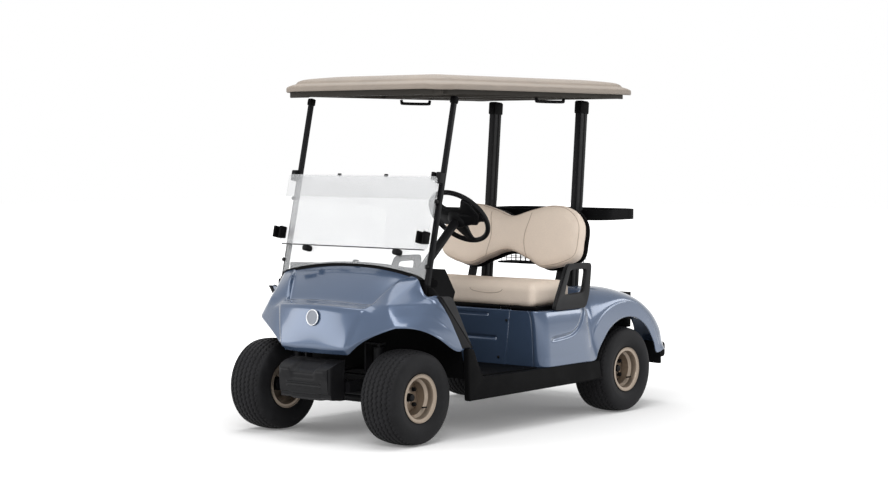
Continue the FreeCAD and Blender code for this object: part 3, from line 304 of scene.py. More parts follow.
def plate_rings(outline: Array, near: float, far: float, edge: float, steps: int = 3) -> Array:
    """Flat plate whose rim is rounded.

    Each ring is the outline moved inwards by edge (1 - sine) while the depth runs by edge (1 - cosine),
    first at the near face and then at the far one.

    Args:
        outline: closed outline as (across, up) pairs.
        near: depth of one face.
        far: depth of the other face.
        edge: radius of the rim.
        steps: rings in each rounding.

    Returns:
        Rings of (across, depth, up) points.
    """
    step = unit(np.roll(outline, -1, axis=0) - outline)
    across = np.stack([step[:, 1], -step[:, 0]], axis=1)
    normal = unit(across + np.roll(across, 1, axis=0))
    x, y = outline[:, 0], outline[:, 1]
    if (x * np.roll(y, -1) - np.roll(x, -1) * y).sum() < 0:
        normal = -normal
    angle = np.linspace(0, np.pi / 2, steps + 1)
    inset = edge * (1 - np.sin(angle))
    depth = edge * (1 - np.cos(angle))
    sign = 1 if far > near else -1
    insets = np.concatenate([inset, inset[::-1]])
    depths = np.concatenate([near + sign * depth, far - sign * depth[::-1]])
    flat = outline[None] - insets[:, None, None] * normal[None]
    return np.stack([flat[..., 0], np.broadcast_to(depths[:, None], flat.shape[:2]), flat[..., 1]], axis=-1)


def box_rings(centre: Point, size: Point, radius: float, steps: int = 3) -> Array:
    """Block with rounded edges.

    Each point is a corner of the inner block, smaller by the radius, plus the radius along a sphere's
    normal. The highest ring stays short of the pole, and its height is stretched to the full radius.

    Args:
        centre: middle of the block.
        size: full size of the block.
        radius: radius of the edges, at most most_share of the least half size.
        steps: rings in each rounding.

    Returns:
        Rings of points by three, from the bottom up.
    """
    most_share, last = 0.98, math.radians(80)
    half = np.asarray(size) / 2
    radius = min(radius, half.min() * most_share)
    lift = np.linspace(0, last, steps + 1)
    lat = np.concatenate([-lift[::-1], lift])
    lon = (np.linspace(0, np.pi / 2, steps + 1)[None] + np.arange(4)[:, None] * np.pi / 2).ravel()
    quarter = np.repeat(np.arange(4), steps + 1)
    sign_x = np.where((quarter == 0) | (quarter == 3), 1.0, -1.0)
    sign_y = np.where(quarter < 2, 1.0, -1.0)
    sign_z = np.sign(lat + 1e-9 * np.where(np.arange(len(lat)) > steps, 1, -1))
    core = half - radius
    x = core[0] * sign_x[None] + radius * np.cos(lat)[:, None] * np.cos(lon)[None]
    y = core[1] * sign_y[None] + radius * np.cos(lat)[:, None] * np.sin(lon)[None]
    z = (core[2] * sign_z + radius * np.sin(lat) / math.sin(last))[:, None] + 0 * x
    return np.stack([x, y, z], axis=-1) + np.asarray(centre)


def turned_rings(profile: Array, centre: Point, segments: int = 96) -> Array:
    """Profile turned about an axis along X, with the radius times the angle's cosine and sine.

    Args:
        profile: (across, radius) pairs.
        centre: point on the axis.
        segments: steps of the turn.

    Returns:
        Array of segments by profile points by three.
    """
    angle = np.linspace(0, 2 * np.pi, segments, endpoint=False)[:, None]
    across, radius = profile[None, :, 0], profile[None, :, 1]
    points = np.stack([across + 0 * angle, radius * np.cos(angle), radius * np.sin(angle)], axis=-1)
    return points + np.asarray(centre)


def grid_quads(rows: int, columns: int, wrap_rows: bool = False, wrap_columns: bool = False) -> Array:
    """Corner numbers of the quads between neighbouring points of a grid.

    Args:
        rows: number of rows.
        columns: number of columns.
        wrap_rows: joins the last row to the first.
        wrap_columns: joins the last column to the first.

    Returns:
        An array of quads by four.
    """
    r = np.arange(rows if wrap_rows else rows - 1)[:, None]
    c = np.arange(columns if wrap_columns else columns - 1)[None]
    r2, c2 = (r + 1) % rows, (c + 1) % columns
    corners = [r * columns + c, r * columns + c2, r2 * columns + c2, r2 * columns + c]
    return np.stack([np.broadcast_to(corner, (r.size, c.size)) for corner in corners], axis=-1).reshape(-1, 4)


def quad_normals(points: Array, quads: Array) -> Array:
    """Half the cross product of each quad's diagonals, which is its area along its normal."""
    a, b, c, d = (points[quads[:, i]] for i in range(4))
    return np.cross(c - a, d - b) / 2


# Finishes


@dataclass
class Term:
    """Output of a node. Sums and products of terms add Math nodes."""

    graph: "Graph"
    socket: Any

    def __add__(self, other: Any) -> "Term":
        """Sum with a term or number."""
        return self.graph.add("ShaderNodeMath", {"operation": "ADD"}, {0: self, 1: other})

    def __mul__(self, other: Any) -> "Term":
        """Product with a term or number."""
        return self.graph.add("ShaderNodeMath", {"operation": "MULTIPLY"}, {0: self, 1: other})

    def ramp(self, low: float, high: float, start: float = 0.0, end: float = 1.0) -> "Term":
        """Smooth step of the value from start below low to end above high."""
        sockets = {"Value": self, "From Min": low, "From Max": high, "To Min": start, "To Max": end}
        return self.graph.add("ShaderNodeMapRange", {"interpolation_type": "SMOOTHSTEP"}, sockets)


class Graph:
    """Node tree of one material or of the world."""

    def __init__(self, owner: Any) -> None:
        """Clears the tree of a material or world."""
        owner.use_nodes = True
        self.tree = owner.node_tree
        self.tree.nodes.clear()

    def add(self, kind: str, settings: dict[str, Any], sockets: dict[Any, Any], output: Any = 0) -> Term:
        """One node.

        Args:
            kind: the node's type.
            settings: properties of the node, which are set first.
            sockets: values or terms for its inputs, by name or number.
            output: the output to give back.

        Returns:
            The chosen output as a term.
        """
        node = self.tree.nodes.new(kind)
        for key, value in settings.items():
            setattr(node, key, value)
        for key, value in sockets.items():
            if isinstance(value, Term):
                self.tree.links.new(value.socket, node.inputs[key])
            else:
                node.inputs[key].default_value = value
        return Term(self, node.outputs[output] if len(node.outputs) else None)

    def place(self) -> Term:
        """Object coordinates."""
        return self.add("ShaderNodeTexCoord", {}, {}, "Object")

    def noise(self, scale: float, detail: float = 3.0, rough: float = 0.5,
              stretch: Point = (1.0, 1.0, 1.0)) -> Term:
        """Noise on object coordinates.

        Args:
            scale: waves in a metre.
            detail: octaves.
            rough: strength of each finer octave.
            stretch: factors of the coordinates along the axes.

        Returns:
            The noise as a term.
        """
        spot = self.add("ShaderNodeMapping", {}, {"Vector": self.place(), "Scale": stretch})
        sockets = {"Vector": spot, "Scale": scale, "Detail": detail, "Roughness": rough}
        return self.add("ShaderNodeTexNoise", {}, sockets)

    def cells(self, scale: float, feature: str = "F1", output: str = "Distance") -> Term:
        """Cell pattern on object coordinates."""
        sockets = {"Vector": self.place(), "Scale": scale}
        return self.add("ShaderNodeTexVoronoi", {"feature": feature}, sockets, output)

    def blend(self, share: Any, first: Any, second: Any) -> Term:
        """Mix of two colours."""
        return self.add("ShaderNodeMix", {"data_type": "RGBA"}, {0: share, 6: first, 7: second}, 2)

    def bump(self, height: Term, distance: float, strength: float = 1.0) -> Term:
        """Bump from a height."""
        return self.add("ShaderNodeBump", {}, {"Height": height, "Distance": distance, "Strength": strength})

    def surface(self, sockets: dict[str, Any]) -> None:
        """Principled shader to the material's output."""
        shader = self.add("ShaderNodeBsdfPrincipled", {}, sockets)
        self.add("ShaderNodeOutputMaterial", {}, {"Surface": shader})


def rgba(colour: Colour, share: float = 1.0) -> tuple[float, float, float, float]:
    """Colour times a share, with full alpha."""
    return (*(min(1.0, part * share) for part in colour), 1.0)


@dataclass(frozen=True)
class Finish:
    """Finish of one of the part's material slots."""

    slot: str
    colour: Colour
    rough: float

    def dress(self, graph: Graph) -> None:
        """Builds the shader. Each kind of finish has its own."""
        raise NotImplementedError

    def material(self) -> bpy.types.Material:
        """The material, made once.

        Returns:
            The material of this kind of finish in this slot.
        """
        name = f"{self.slot}_finish_{type(self).__name__}"
        found = bpy.data.materials.get(name)
        if found is None:
            found = bpy.data.materials.new(name)
            self.dress(Graph(found))
        return found


@dataclass(frozen=True)
class Paint(Finish):
    """Metallic paint under a clear coat."""

    metallic: float = 0.30
    coat: float = 0.90

    def dress(self, graph: Graph) -> None:
        """Fine flake in the colour and a very slight orange peel under the coat."""
        flake = graph.cells(2600.0, output="Color")
        sparkle = graph.add("ShaderNodeSeparateColor", {}, {0: flake})
        cloud = graph.noise(6.0, 2.0)
        tone = graph.blend(cloud, rgba(self.colour, 0.95), rgba(self.colour, 1.05))
        bright = graph.blend(sparkle.ramp(0.6, 1.0, 0.0, 0.35), tone, rgba(self.colour, 1.5))
        graph.surface({"Base Color": bright, "Metallic": self.metallic,
                       "Roughness": cloud.ramp(0.3, 0.7, self.rough - 0.02, self.rough + 0.02),
                       "Coat Weight": self.coat, "Coat Roughness": 0.10,
                       "Specular IOR Level": 0.2,
                       "Normal": graph.bump(graph.noise(140.0, 1.0), 0.0004, 0.08)})


@dataclass(frozen=True)
class Grained(Finish):
    """Moulded plastic with a leather-like grain."""

    grain: float = 420.0
    deep: float = 0.0004
    shine: float = 0.12

    def dress(self, graph: Graph) -> None:
        """Grain from cells broken up by noise, with dull and shiny patches."""
        cell = graph.cells(self.grain)
        fine = graph.noise(self.grain * 1.6, 2.0)
        patchy = graph.noise(9.0, 4.0)
        graph.surface({"Base Color": graph.blend(patchy, rgba(self.colour, 0.85), rgba(self.colour, 1.25)),
                       "Roughness": patchy.ramp(0.3, 0.7, self.rough - 0.06, self.rough + 0.06),
                       "Specular IOR Level": self.shine,
                       "Normal": graph.bump(cell * 0.7 + fine * 0.3, self.deep, 0.6)})


@dataclass(frozen=True)
class Vinyl(Finish):
    """Seat vinyl with a fine leather grain."""

    def dress(self, graph: Graph) -> None:
        """Pebbled grain from cell borders over soft creasing, with slightly darker hollows."""
        pebble = graph.cells(380.0, "DISTANCE_TO_EDGE").ramp(0.0, 0.12)
        crease = graph.noise(14.0, 3.0)
        tone = graph.blend(crease, rgba(self.colour, 0.95), rgba(self.colour, 1.04))
        graph.surface({"Base Color": graph.blend(pebble, rgba(self.colour, 0.86), tone),
                       "Roughness": crease.ramp(0.3, 0.7, self.rough - 0.05, self.rough + 0.05),
                       "Specular IOR Level": 0.35,
                       "Normal": graph.bump(pebble * 0.8 + crease * 0.6, 0.0004, 0.35)})


@dataclass(frozen=True)
class Rubber(Finish):
    """Dull rubber with a faint bloom."""

    def dress(self, graph: Graph) -> None:
        """Fine pitted noise and greyer worn patches."""
        bloom = graph.noise(11.0, 5.0, 0.6)
        pits = graph.noise(700.0, 2.0)
        worn = graph.blend(bloom.ramp(0.4, 0.75), rgba(self.colour), rgba(self.colour, 1.6))
        graph.surface({"Base Color": worn,
                       "Roughness": bloom.ramp(0.3, 0.7, self.rough - 0.08, self.rough + 0.05),
                       "Specular IOR Level": 0.1,
                       "Normal": graph.bump(pits, 0.0003, 0.4)})


@dataclass(frozen=True)
class Metal(Finish):
    """Metal, bare, plated or painted."""

    metallic: float = 1.0
    shine: float = 0.5
    stretch: Point = (1.0, 1.0, 1.0)

    def dress(self, graph: Graph) -> None:
        """Fine brushed or cast noise in colour, roughness and relief."""
        grain = graph.noise(260.0, 3.0, 0.55, self.stretch)
        cloud = graph.noise(7.0, 4.0)
        tone = graph.blend(cloud, rgba(self.colour, 0.88), rgba(self.colour, 1.1))
        worn = grain * 0.5 + cloud * 0.5
        graph.surface({"Base Color": tone, "Metallic": self.metallic, "Specular IOR Level": self.shine,
                       "Roughness": worn.ramp(0.3, 0.7, self.rough - 0.07, self.rough + 0.07),
                       "Normal": graph.bump(grain, 0.0003, 0.25)})


@dataclass(frozen=True)
class Pane(Finish):
    """Clear polycarbonate sheet."""

    alpha: float = 0.26

    def dress(self, graph: Graph) -> None:
        """Mostly see-through, a little denser where a fine haze lies."""
        haze = graph.noise(5.0, 3.0)
        graph.surface({"Base Color": graph.blend(haze, rgba(self.colour, 0.97), rgba(self.colour)),
                       "Roughness": haze.ramp(0.3, 0.7, self.rough, self.rough + 0.03),
                       "Alpha": haze.ramp(0.3, 0.7, self.alpha, self.alpha + 0.02)})


@dataclass(frozen=True)
class SeamShade(Vinyl):
    """Seat vinyl darkened as painted shade along the seams."""


class Slot(Enum):
    """Material slots of the record, with the finish of each."""

    BODY_BLUE = Paint("body_blue", (0.058, 0.090, 0.155), 0.24)
    ROOF_STONE = Grained("roof_stone", (0.26, 0.222, 0.188), 0.5, 300.0, 0.0002, 0.2)
    # Roof stone darkened as painted shade: the underside and the frame are the roof's colour in shadow.
    ROOF_UNDERSIDE = Grained("roof_underside", (0.040, 0.036, 0.031), 0.65)
    # The seat's own vinyl darkened, as painted shade in the seams.
    SEAT_SEAM_SHADE = SeamShade("seat_vinyl", (0.46, 0.37, 0.30), 0.6)
    SEAT_VINYL = Vinyl("seat_vinyl", (0.80, 0.68, 0.57), 0.55)
    TEXTURED_BLACK = Grained("textured_black", (0.0035, 0.0035, 0.0038), 0.55, shine=0.03)
    TRIM_GREY = Grained("trim_grey", (0.008, 0.008, 0.009), 0.42, shine=0.12)
    SOFT_BLACK = Rubber("soft_black", (0.006, 0.006, 0.0065), 0.5)
    STRUT_BLACK = Metal("strut_black", (0.004, 0.004, 0.005), 0.4, 0.0, 0.08, (1.0, 1.0, 0.2))
    CHASSIS_BLACK = Metal("chassis_black", (0.005, 0.005, 0.006), 0.5, 0.0, 0.12)
    CAST_METAL = Metal("cast_metal", (0.16, 0.17, 0.19), 0.5)
    BARE_STEEL = Metal("bare_steel", (0.62, 0.63, 0.65), 0.36)
    RIM_PAINT = Metal("rim_paint", (0.30, 0.245, 0.195), 0.36, 0.7)
    TYRE_RUBBER = Rubber("tyre_rubber", (0.011, 0.011, 0.012), 0.6)
    CLEAR_PANE = Pane("clear_pane", (0.66, 0.67, 0.68), 0.04)


# Pieces


class Form:
    """Collects surfaces into the mesh of one piece."""

    def __init__(self) -> None:
        """Starts with nothing."""
        self.points: list[Array] = []
        self.faces: list[list[int]] = []
        self.total = 0

    def _keep(self, points: Array, faces: Iterable[list[int]]) -> "Form":
        """Adds points and the faces between them.

        Args:
            points: rows of points.
            faces: rows of corners, numbered from the first of these points.

        Returns:
            The form itself.
        """
        self.faces += [[corner + self.total for corner in face] for face in faces]
        self.points.append(points)
        self.total += len(points)
        return self

    def skin(self, rings: Array, loop: bool = False) -> "Form":
        """Closed skin over rings of points, turned outwards by the sign of its volume.

        Args:
            rings: array of rings by points by three; each ring is closed.
            loop: joins the last ring to the first, and otherwise both ends get a flat cap.

        Returns:
            The form itself.
        """
        count, around = rings.shape[:2]
        points = rings.reshape(-1, 3)
        quads = grid_quads(count, around, loop, True)
        centre = points.mean(axis=0)
        middles = points[quads].mean(axis=1) - centre
        flip = (middles * quad_normals(points, quads)).sum() < 0
        last = (count - 1) * around
        caps = [] if loop else [list(range(around))[::-1], list(range(last, last + around))]
        faces = quads.tolist() + caps
        return self._keep(points, [face[::-1] for face in faces] if flip else faces)

    def sheet(self, grid: Array, towards: Point) -> "Form":
        """Open surface over a grid of points.

        Args:
            grid: array of rows by columns by three.
            towards: direction to which most faces are turned.

        Returns:
            The form itself.
        """
        points = grid.reshape(-1, 3)
        quads = grid_quads(*grid.shape[:2])
        flip = (quad_normals(points, quads) @ np.asarray(towards)).sum() < 0
        return self._keep(points, (quads[:, ::-1] if flip else quads).tolist())

    def both(self, rings: Array, loop: bool = False) -> "Form":
        """Closed skin and its mirror image."""
        return self.skin(rings, loop).skin(mirrored(rings), loop)

    def piece(self, name: str, slot: Slot, body: str = "root", stands_for: Sequence[str] = (),
              wall: float = 0.0, sharp: float = 40.0) -> bpy.types.Object:
        """Makes the object, gives it its finish and lets it ride.

        Args:
            name: name of the piece.
            slot: finish.
            body: body that it moves with.
            stands_for: CAD nodes that it replaces.
            wall: thickness that an open sheet gets on its back.
            sharp: angle in degrees above which an edge stays sharp.

        Returns:
            The object.
        """
        mesh = bpy.data.meshes.new(name)
        mesh.from_pydata(np.concatenate(self.points).tolist(), [], self.faces)
        mesh.shade_smooth()
        mesh.set_sharp_from_angle(angle=math.radians(sharp))
        item = bpy.data.objects.new(name, mesh)
        bpy.context.scene.collection.objects.link(item)
        if wall:
            solid = item.modifiers.new("wall", "SOLIDIFY")
            solid.thickness, solid.offset = wall, -1.0
        return settle(item, slot, body, stands_for)


def settle(item: bpy.types.Object, slot: Slot, body: str, stands_for: Sequence[str] = ()) -> bpy.types.Object:
    """Gives an object its finish, its body and the nodes that it stands for, and logs it.

    Args:
        item: the object.
        slot: finish.
        body: body that it moves with.
        stands_for: CAD nodes that it replaces.

    Returns:
        The same object.
    """
    item.data.materials.clear()
    item.data.materials.append(slot.value.material())
    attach(item, body)
    if stands_for:
        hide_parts(*stands_for)
    log.info("%s: %d points, rides on %s", item.name, len(item.data.vertices), body)
    return item


def coordinates(mesh: bpy.types.Mesh) -> Array:
    """Vertex positions of a mesh as an array."""
    flat = np.empty(len(mesh.vertices) * 3, np.float32)
    mesh.vertices.foreach_get("co", flat)
    return flat.reshape(-1, 3).astype(float)


def evaluated_mesh(item: bpy.types.Object) -> bpy.types.Mesh:
    """New mesh of an object with its modifiers applied."""
    return bpy.data.meshes.new_from_object(item.evaluated_get(bpy.context.evaluated_depsgraph_get()))


@dataclass(frozen=True)
class Padding:
    """Padding by cloth simulation, applied to the mesh."""

    voxel: float = 0.008
    most: float = 0.010
    pressure: float = 4.0
    frames: int = 20
    quality: int = 5
    fill: float = 0.8

    def swollen(self, item: bpy.types.Object) -> Array:
        """Points of the piece after it swells under pressure without gravity.

        Args:
            item: remeshed piece.

        Returns:
            Its points, each moved by its own way up to the limit.
        """
        start = coordinates(item.data)
        cloth = item.modifiers.new("puff", "CLOTH")
        cloth.settings.quality = self.quality
        cloth.settings.use_pressure = True
        cloth.settings.uniform_pressure_force = self.pressure
        cloth.settings.effector_weights.gravity = 0.0
        cloth.point_cache.frame_start, cloth.point_cache.frame_end = 1, self.frames
        for number in range(1, self.frames + 1):
            bpy.context.scene.frame_set(number)
        way = coordinates(evaluated_mesh(item)) - start
        long = np.linalg.norm(way, axis=1, keepdims=True)
        item.modifiers.clear()
        bpy.context.scene.frame_set(1)
        return start + way * np.minimum(1, self.most / np.maximum(long, 1e-9))

    def fit(self, item: bpy.types.Object) -> bpy.types.Object:
        """Remeshes a piece, swells it and makes it finer.

        Args:
            item: closed piece.

        Returns:
            The same object.
        """
        remesh = item.modifiers.new("even", "REMESH")
        remesh.mode, remesh.voxel_size, remesh.use_smooth_shade = "VOXEL", self.voxel, True
        even = evaluated_mesh(item)
        item.modifiers.clear()
        item.data = even
        even.vertices.foreach_set("co", self.swollen(item).astype(np.float32).ravel())
        even.shade_smooth()
        finer = item.modifiers.new("finer", "SUBSURF")
        finer.levels = finer.render_levels = 1
        return item


# Wheels


@dataclass
class Wheel:
    """Wheel with its tyre, rim, hub, nuts and valve.

    Profiles are (across, radius) pairs, where across grows towards the wheel's outer face.
    """

    name: str
    body: str
    centre: Point
    side: int
    radius: float = 0.2286
    tread_half: float = 0.088
    tread_points: int = 65
    crown_drop: float = 0.0095
    crown_power: float = 2.4
    wall: Outline = (
        (0.088, 0.2191), (0.0975, 0.211), (0.1035, 0.196), (0.1055, 0.176), (0.1045, 0.156),
        (0.0985, 0.134), (0.0915, 0.1215), (0.0887, 0.116), (0.0882, 0.102))
    lining: Outline = ((0.079, 0.102), (0.092, 0.14), (0.0955, 0.172), (0.085, 0.203), (0.0, 0.2185))
    teeth: int = 54
    steps_per_tooth: int = 6
    groove_lines: Sequence[float] = (-0.070, -0.042, -0.014, 0.014, 0.042, 0.070)
    groove_deep: float = 0.007
    groove_half: float = 0.0030
    groove_swing: float = 0.0085
    swing_back_share: float = 0.35
    sipe_from: float = 0.080
    sipe_half_share: float = 0.12
    sipe_deep_share: float = 0.7
    bead_radius: float = 0.186
    bead_half: float = 0.0018
    bead_share: float = 0.004
    rim_outer: Outline = (
        (0.0955, 0.1165), (0.0945, 0.1178), (0.0915, 0.1172), (0.0895, 0.114), (0.0885, 0.1035),
        (0.0865, 0.1008), (0.060, 0.0995), (0.049, 0.0868), (0.0, 0.0862), (-0.049, 0.0868),
        (-0.060, 0.0995), (-0.0865, 0.1008), (-0.0885, 0.1035), (-0.0905, 0.1172), (-0.0945, 0.1175))
    rim_inner: Outline = (
        (-0.0945, 0.1145), (-0.0915, 0.112), (-0.0905, 0.0995), (-0.0845, 0.0965), (-0.058, 0.0955),
        (-0.047, 0.0828), (-0.006, 0.0822), (0.000, 0.079), (0.006, 0.070), (0.011, 0.060),
        (0.0125, 0.040), (0.0155, 0.030), (0.0165, 0.0215), (0.0195, 0.0195), (0.0205, 0.0225),
        (0.0190, 0.031), (0.0160, 0.041), (0.0145, 0.061), (0.0095, 0.072), (0.0035, 0.0812),
        (0.012, 0.0822), (0.047, 0.0828), (0.058, 0.0955), (0.0845, 0.0965), (0.0905, 0.0995),
        (0.0917, 0.112), (0.0940, 0.1150))
    cap: Outline = (
        (0.0455, 0.010), (0.043, 0.016), (0.038, 0.0185), (0.020, 0.0195), (0.019, 0.030), (0.008, 0.030))
    drum_rear: float = 0.078
    drum_front: float = 0.034
    nut_circle: float = 0.0508
    nut: Outline = ((0.012, 0.0115), (0.024, 0.0115), (0.026, 0.0100), (0.033, 0.0072), (0.036, 0.003))
    nut_count: int = 4
    stem_spot: Point = (0.050, 0.062, -0.052)
    stem_way: Point = (0.034, -0.006, 0.005)
    stem_radius: float = 0.004

    def tyre_profile(self) -> Array:
        """Closed profile of the tyre: the crowned tread first, then both walls and the lining.

        The tread's radius falls by a power of the distance from its middle.

        Returns:
            (across, radius) pairs, of which the first tread_points belong to the tread.
        """
        across = np.linspace(-self.tread_half, self.tread_half, self.tread_points)
        crown = self.radius - self.crown_drop * np.abs(across / self.tread_half) ** self.crown_power
        right = np.concatenate([spline(self.wall, 3)[1:], np.asarray(self.lining)])
        left = right[::-1][1:] * [-1, 1]
        return np.concatenate([np.stack([across, crown], axis=1), right, left])

    def tread_drop(self, turn: Array, across: Array) -> Array:
        """Depth of the tread's cuts, as a share of the groove's depth.

        Grooves run round with centre lines that swing across by a triangle wave, and short sipes cut the
        shoulders.

        Args:
            turn: column of angles, counted in teeth.
            across: row of distances from the tread's middle.

        Returns:
            Angles by distances.
        """
        tooth = turn % 1.0
        back = self.swing_back_share
        swing = np.where(tooth < back, 1 - tooth / back, (tooth - back) / (1 - back))
        drop = np.zeros((len(turn), across.shape[1]))
        for number, line in enumerate(self.groove_lines):
            middle = line + self.groove_swing * (swing - 0.5) * (1 if number % 2 else -1)
            edge = smoothstep(self.groove_half * 0.6, self.groove_half * 1.7, np.abs(across - middle))
            drop = np.maximum(drop, 1 - edge)
        sipe = (np.abs(tooth - 0.5) < self.sipe_half_share) & (np.abs(across) > self.sipe_from)
        return np.maximum(drop, sipe * self.sipe_deep_share)

    def tyre(self) -> bpy.types.Object:
        """Tyre with a sawtooth tread and a raised line on each wall.

        The profile is turned round the axle. The cuts lower the tread's radius, and the line widens the
        walls by a bell curve of the radius.

        Returns:
            The piece.
        """
        profile = self.tyre_profile()
        count = self.tread_points
        segments = self.teeth * self.steps_per_tooth
        rings = turned_rings(profile, (0, 0, 0), segments)
        turn = np.arange(segments)[:, None] / segments * self.teeth
        drop = self.tread_drop(turn, profile[None, :count, 0])
        scale = 1 - drop * self.groove_deep / profile[None, :count, 1]
        rings[:, :count, 1:] *= scale[..., None]
        radius = np.hypot(rings[..., 1], rings[..., 2])
        outside = np.abs(rings[..., 0]) > 0.1
        line = np.exp(-((radius - self.bead_radius) / self.bead_half) ** 2) * outside
        rings[..., 0] *= 1 + self.bead_share * line
        return Form().skin(rings + np.asarray(self.centre), loop=True).piece(
            f"{self.name}_tyre", Slot.TYRE_RUBBER, self.body, [f"tyre_{self.name}"], sharp=50.0)

    def rim(self) -> bpy.types.Object:
        """Deep-dished pressed rim: a closed profile turned round, with its outer face to the wheel's side."""
        profile = np.asarray((*self.rim_outer, *self.rim_inner)) * [self.side, 1]
        return Form().skin(turned_rings(profile, self.centre, 96), loop=True).piece(
            f"{self.name}_rim", Slot.RIM_PAINT, self.body, [f"rim_{self.name}"], sharp=28.0)

    def hub(self) -> bpy.types.Object:
        """Dust cap, hub and brake drum turned as one profile. The rear drum is the larger.

        Returns:
            The piece.
        """
        drum = self.drum_rear if self.name.startswith("rear") else self.drum_front
        back = ((0.007, drum), (-0.045, drum), (-0.048, drum - 0.004), (-0.048, 0.014))
        profile = np.array([*self.cap, *back])
        rings = turned_rings(profile * [self.side, 1], self.centre, 48)
        return Form().skin(np.swapaxes(rings, 0, 1)).piece(f"{self.name}_hub", Slot.CHASSIS_BLACK, self.body)

    def nuts(self) -> bpy.types.Object:
        """Domed hexagonal nuts round the hub, each a profile turned in six steps, and the valve.

        Returns:
            The piece.
        """
        form = Form()
        centre = np.asarray(self.centre)
        for number in range(self.nut_count):
            angle = 2 * math.pi / self.nut_count * (number + 0.5)
            spot = centre + [0, self.nut_circle * math.cos(angle), self.nut_circle * math.sin(angle)]
            rings = turned_rings(np.asarray(self.nut) * [self.side, 1], spot, 6)
            form.skin(np.swapaxes(rings, 0, 1))
        stem = centre + np.asarray(self.stem_spot) * [self.side, 1, 1]
        tip = stem + np.asarray(self.stem_way) * [self.side, 1, 1]
        form.skin(bar_rings(tuple(stem), tuple(tip), self.stem_radius, 10))
        return form.piece(f"{self.name}_nuts", Slot.SOFT_BLACK, self.body, sharp=25.0)

    def build(self) -> None:
        """Makes every piece of the wheel."""
        self.tyre()
        self.rim()
        self.hub()
        self.nuts()


# Front body


